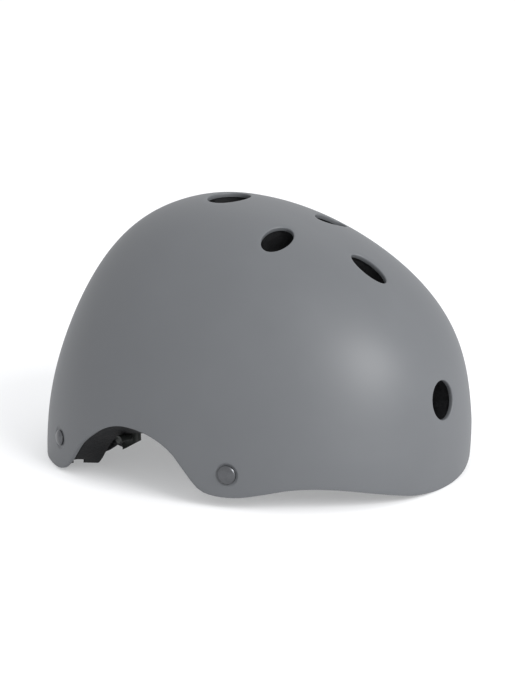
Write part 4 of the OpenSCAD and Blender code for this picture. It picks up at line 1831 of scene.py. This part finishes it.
    def build(self) -> None:
        """Builds and dresses the straps and the bands."""
        for side in Side:
            for place, route in (("front", self.front_route()), ("rear", self.rear_route())):
                name = f"{place}_strap_{side.word()}"
                strap = self.webbing(name, route, side)
                seat(strap, "helmet", Slot.WEBBING, BLACK_WEBBING, [name])
        right = self.webbing("chin_strap_right", self.chin_route(self.socket), Side.RIGHT)
        seat(right, "helmet", Slot.WEBBING, BLACK_WEBBING, ["chin_strap_right"])
        plug_route = self.chin_route(self.plug)
        left = self.webbing("chin_strap_left", plug_route, Side.LEFT, self.plug_step)
        seat(left, None, Slot.WEBBING, BLACK_WEBBING, ["chin_strap_left"])
        x, high = self.divider_axes()[0].x, self.buckle_high
        start, end = self.bend
        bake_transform(left)
        for side in Side:
            stations = [station.on(side) for station in self.band_route()]
            name, rack = f"band_{side.word()}", f"{side.word()}_rack"
            band = Strap(
                f"fit_{name}", stations, self.band_high, self.band_thick, squareness=9.0
            ).build()
            seat(band, None, Slot.BLACK, BLACK_ACETAL, [name])
            tuple(stations[-1].point)
            tuple(stations[1].point)
            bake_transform(band)


# Hard fittings


@dataclass(frozen=True)
class Moulding:
    """A hard piece in its solid's own form, with its edges broken as a mould leaves them."""

    node: str
    body: str
    finish: Finish
    slot: Slot = Slot.BLACK
    edge: float = 0.3 * MM
    crease: float = 34.0
    flat: float = 0.6
    shaded: float = 46.0
    draft: float = 0.0

    def draw_up(self, bm: bmesh.types.BMesh) -> None:
        """Cuts away the piece's lower front, from nothing at its rear to the draft at its front.

        Args:
            bm: The piece's bmesh.
        """
        rear, front = (pick(v.co.x for v in bm.verts) for pick in (min, max))
        low = min(v.co.z for v in bm.verts)
        bmesh.ops.bisect_plane(
            bm,
            geom=bm.verts[:] + bm.edges[:] + bm.faces[:],
            plane_co=(rear, 0, low),
            plane_no=Vector((self.draft, 0, rear - front)).normalized(),
            clear_outer=True,
        )
        bmesh.ops.holes_fill(bm, edges=bm.edges[:], sides=0)

    def build(self, nodes: dict[str, bpy.types.Object]) -> None:
        """Builds and dresses the piece.

        Args:
            nodes: The frame's solids by name.
        """
        source = nodes[self.node]
        bm = bmesh.new()
        bm.from_mesh(source.data)
        bm.transform(source.matrix_world)
        bmesh.ops.remove_doubles(bm, verts=bm.verts, dist=2e-6)
        if self.draft:
            self.draw_up(bm)
        flat, sharp = math.radians(self.flat), math.radians(self.crease)
        bmesh.ops.dissolve_limit(bm, angle_limit=flat, verts=bm.verts, edges=bm.edges)
        hard = [e for e in bm.edges if len(e.link_faces) == 2 and e.calc_face_angle(0.0) > sharp]
        round_edges(bm, hard, self.edge, 2, clamp=True)
        piece = finish_mesh(bm, f"{self.node}_piece", self.shaded)
        piece.modifiers.new("even shading", "WEIGHTED_NORMAL").keep_sharp = True
        seat(piece, self.body, self.slot, self.finish, [self.node])


@dataclass
class CradlePad:
    """The soft pad on the nape cradle."""

    front: float = -93.1 * MM
    level: float = 24 * MM
    half_wide: float = 28 * MM
    half_high: float = 12.1 * MM
    thick: float = 4.4 * MM

    def place(self, wide: float, high: float, lift: float) -> Vector:
        """Point of the pad on the cradle's front."""
        y, z = wide * self.half_wide, self.level + high * self.half_high
        return Vector((self.front + lift, y, z))

    def build(self) -> None:
        """Builds and dresses the pad."""
        cushion = Cushion(self.half_wide, self.half_high, self.thick)
        pad = cushion.make("cradle_pad_cushion", self.place)
        seat(pad, "cradle", Slot.PAD, PAD_KNIT, ["cradle_pad"])


@dataclass
class Fittings:
    """The hard fittings: anchors, washers, dividers, cam levers, buckle, keeper, adjuster."""

    pieces: Sequence[Moulding] = (
        Moulding("rivet_washers", "helmet", BRIGHT_STEEL, Slot.STEEL, 0.15 * MM),
        Moulding("front_anchors", "helmet", BLACK_ACETAL),
        Moulding("rear_anchors", "helmet", BLACK_ACETAL),
        Moulding("divider_left", "helmet", BLACK_ACETAL, edge=0.35 * MM),
        Moulding("divider_right", "helmet", BLACK_ACETAL, edge=0.35 * MM),
        Moulding("cam_lever_left", "cam_left", BLACK_ACETAL, edge=0.2 * MM),
        Moulding("cam_lever_right", "cam_right", BLACK_ACETAL, edge=0.2 * MM),
        Moulding("cam_pins", "helmet", BRIGHT_STEEL, Slot.STEEL, 0.15 * MM),
        Moulding("buckle_socket", "helmet", BLACK_ACETAL, edge=0.5 * MM),
        Moulding("buckle_plug", "plug", BLACK_ACETAL, edge=0.35 * MM),
        Moulding("buckle_prongs", "plug", BLACK_ACETAL, edge=0.35 * MM),
        Moulding("strap_keeper", "keeper", BLACK_ACETAL, edge=0.4 * MM),
        Moulding("nape_cradle", "cradle", BLACK_ACETAL, edge=0.45 * MM),
        Moulding("cradle_cover", "cradle", BLACK_ACETAL, edge=0.45 * MM),
        Moulding("fit_dial", "dial", BLACK_ACETAL, edge=0.4 * MM),
        Moulding("fit_pinion", "dial", GREY_NYLON, Slot.GREY, 0.12 * MM),
        Moulding("dial_screw", "dial", BRIGHT_STEEL, Slot.STEEL, 0.15 * MM),
        Moulding("rack_left", "left_rack", GREY_NYLON, Slot.GREY, 0.12 * MM),
        Moulding("rack_right", "right_rack", GREY_NYLON, Slot.GREY, 0.12 * MM),
        # The band anchors take the darker copy of the grey nylon: painted shade for their place
        # inside the ear arch.
        Moulding("band_anchors", "helmet", SHADED_GREY_NYLON, Slot.GREY, 0.4 * MM, draft=7 * MM),
    )

    def build(self, nodes: dict[str, bpy.types.Object]) -> None:
        """Builds every fitting.

        Args:
            nodes: The frame's solids by name.
        """
        for piece in self.pieces:
            piece.build(nodes)


# Floor, lights and camera


@dataclass(frozen=True)
class Lamp:
    """A square soft light: where it stands, its side in metres and its power in watts."""

    name: str
    place: tuple[float, float, float]
    side: float
    power: float


@dataclass
class Studio:
    """Pale floor, soft lights and the camera at the photograph's angle."""

    azimuth: float = 36.79
    elevation: float = 14.95
    roll: float = -1.67
    distance: float = 1.6
    lens: float = 137.2
    target: Vector = Vector((1.93 * MM, 0, 82.6 * MM))
    frame_long: float = 688.0
    target_right: float = 2.0
    target_up: float = 20.2
    sensor: float = 36.0
    far: float = 60.0
    floor_half: float = 14.0
    lamps: Sequence[Lamp] = (
        Lamp("key", (2.2, -0.5, 1.35), 1.3, 70.0),
        Lamp("back", (-0.9, 1.5, 1.5), 1.4, 2.0),
    )

    def camera(self) -> None:
        """Places the camera."""
        (turn_c, turn_s), (up_c, up_s) = cos_sin(self.azimuth), cos_sin(self.elevation)
        back = Vector((turn_s * up_c, -turn_c * up_c, up_s))
        level = Vector((turn_c, turn_s, 0))
        rise = back.cross(level)
        c, s = cos_sin(self.roll)
        right = level * c + rise * s
        up = back.cross(right)
        data = bpy.data.cameras.new("camera")
        data.lens = self.lens
        data.sensor_width = self.sensor
        data.shift_x = -self.target_right / self.frame_long
        data.shift_y = -self.target_up / self.frame_long
        data.clip_end = self.far
        camera = bpy.data.objects.new("camera", data)
        turn = Matrix((right, up, back)).transposed().to_4x4()
        camera.matrix_world = Matrix.Translation(self.target + back * self.distance) @ turn
        bpy.context.scene.collection.objects.link(camera)
        bpy.context.scene.camera = camera

    def floor(self) -> None:
        """Lays the floor."""
        bm = bmesh.new()
        bmesh.ops.create_grid(bm, x_segments=1, y_segments=1, size=self.floor_half)
        floor = finish_mesh(bm, "floor")
        floor.data.materials.append(PaleFloor("matt_white_board", "#cbcbcc", 0.9).material())

    def light(self, lamp: Lamp) -> None:
        """Adds one soft light that looks at the helmet.

        Args:
            lamp: The light.
        """
        data = bpy.data.lights.new(lamp.name, "AREA")
        data.size = lamp.side
        data.energy = lamp.power
        made = bpy.data.objects.new(lamp.name, data)
        made.location = lamp.place
        way = self.target - Vector(lamp.place)
        made.rotation_euler = way.to_track_quat("-Z", "Y").to_euler()
        bpy.context.scene.collection.objects.link(made)

    def build(self) -> None:
        """Builds the camera, the floor, the lights and the pale surround."""
        self.camera()
        self.floor()
        for lamp in self.lamps:
            self.light(lamp)
        world = bpy.data.worlds.new("surround")
        world.use_nodes = True
        sky = world.node_tree.nodes["Background"]
        sky.inputs["Color"].default_value = linear(STUDIO_WHITE)
        sky.inputs["Strength"].default_value = 1.0
        bpy.context.scene.world = world
        bpy.context.scene.view_settings.view_transform = "Standard"


def main() -> None:
    """Builds the helmet's looks piece by piece."""
    logging.basicConfig(level=logging.INFO, format="%(message)s")
    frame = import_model()
    Studio().build()
    Shell().build()
    Rivets().build()
    Liner().build()
    Pads().build()
    Harness().build()
    CradlePad().build()
    Fittings().build(frame["nodes"])


if __name__ == "__main__":
    main()
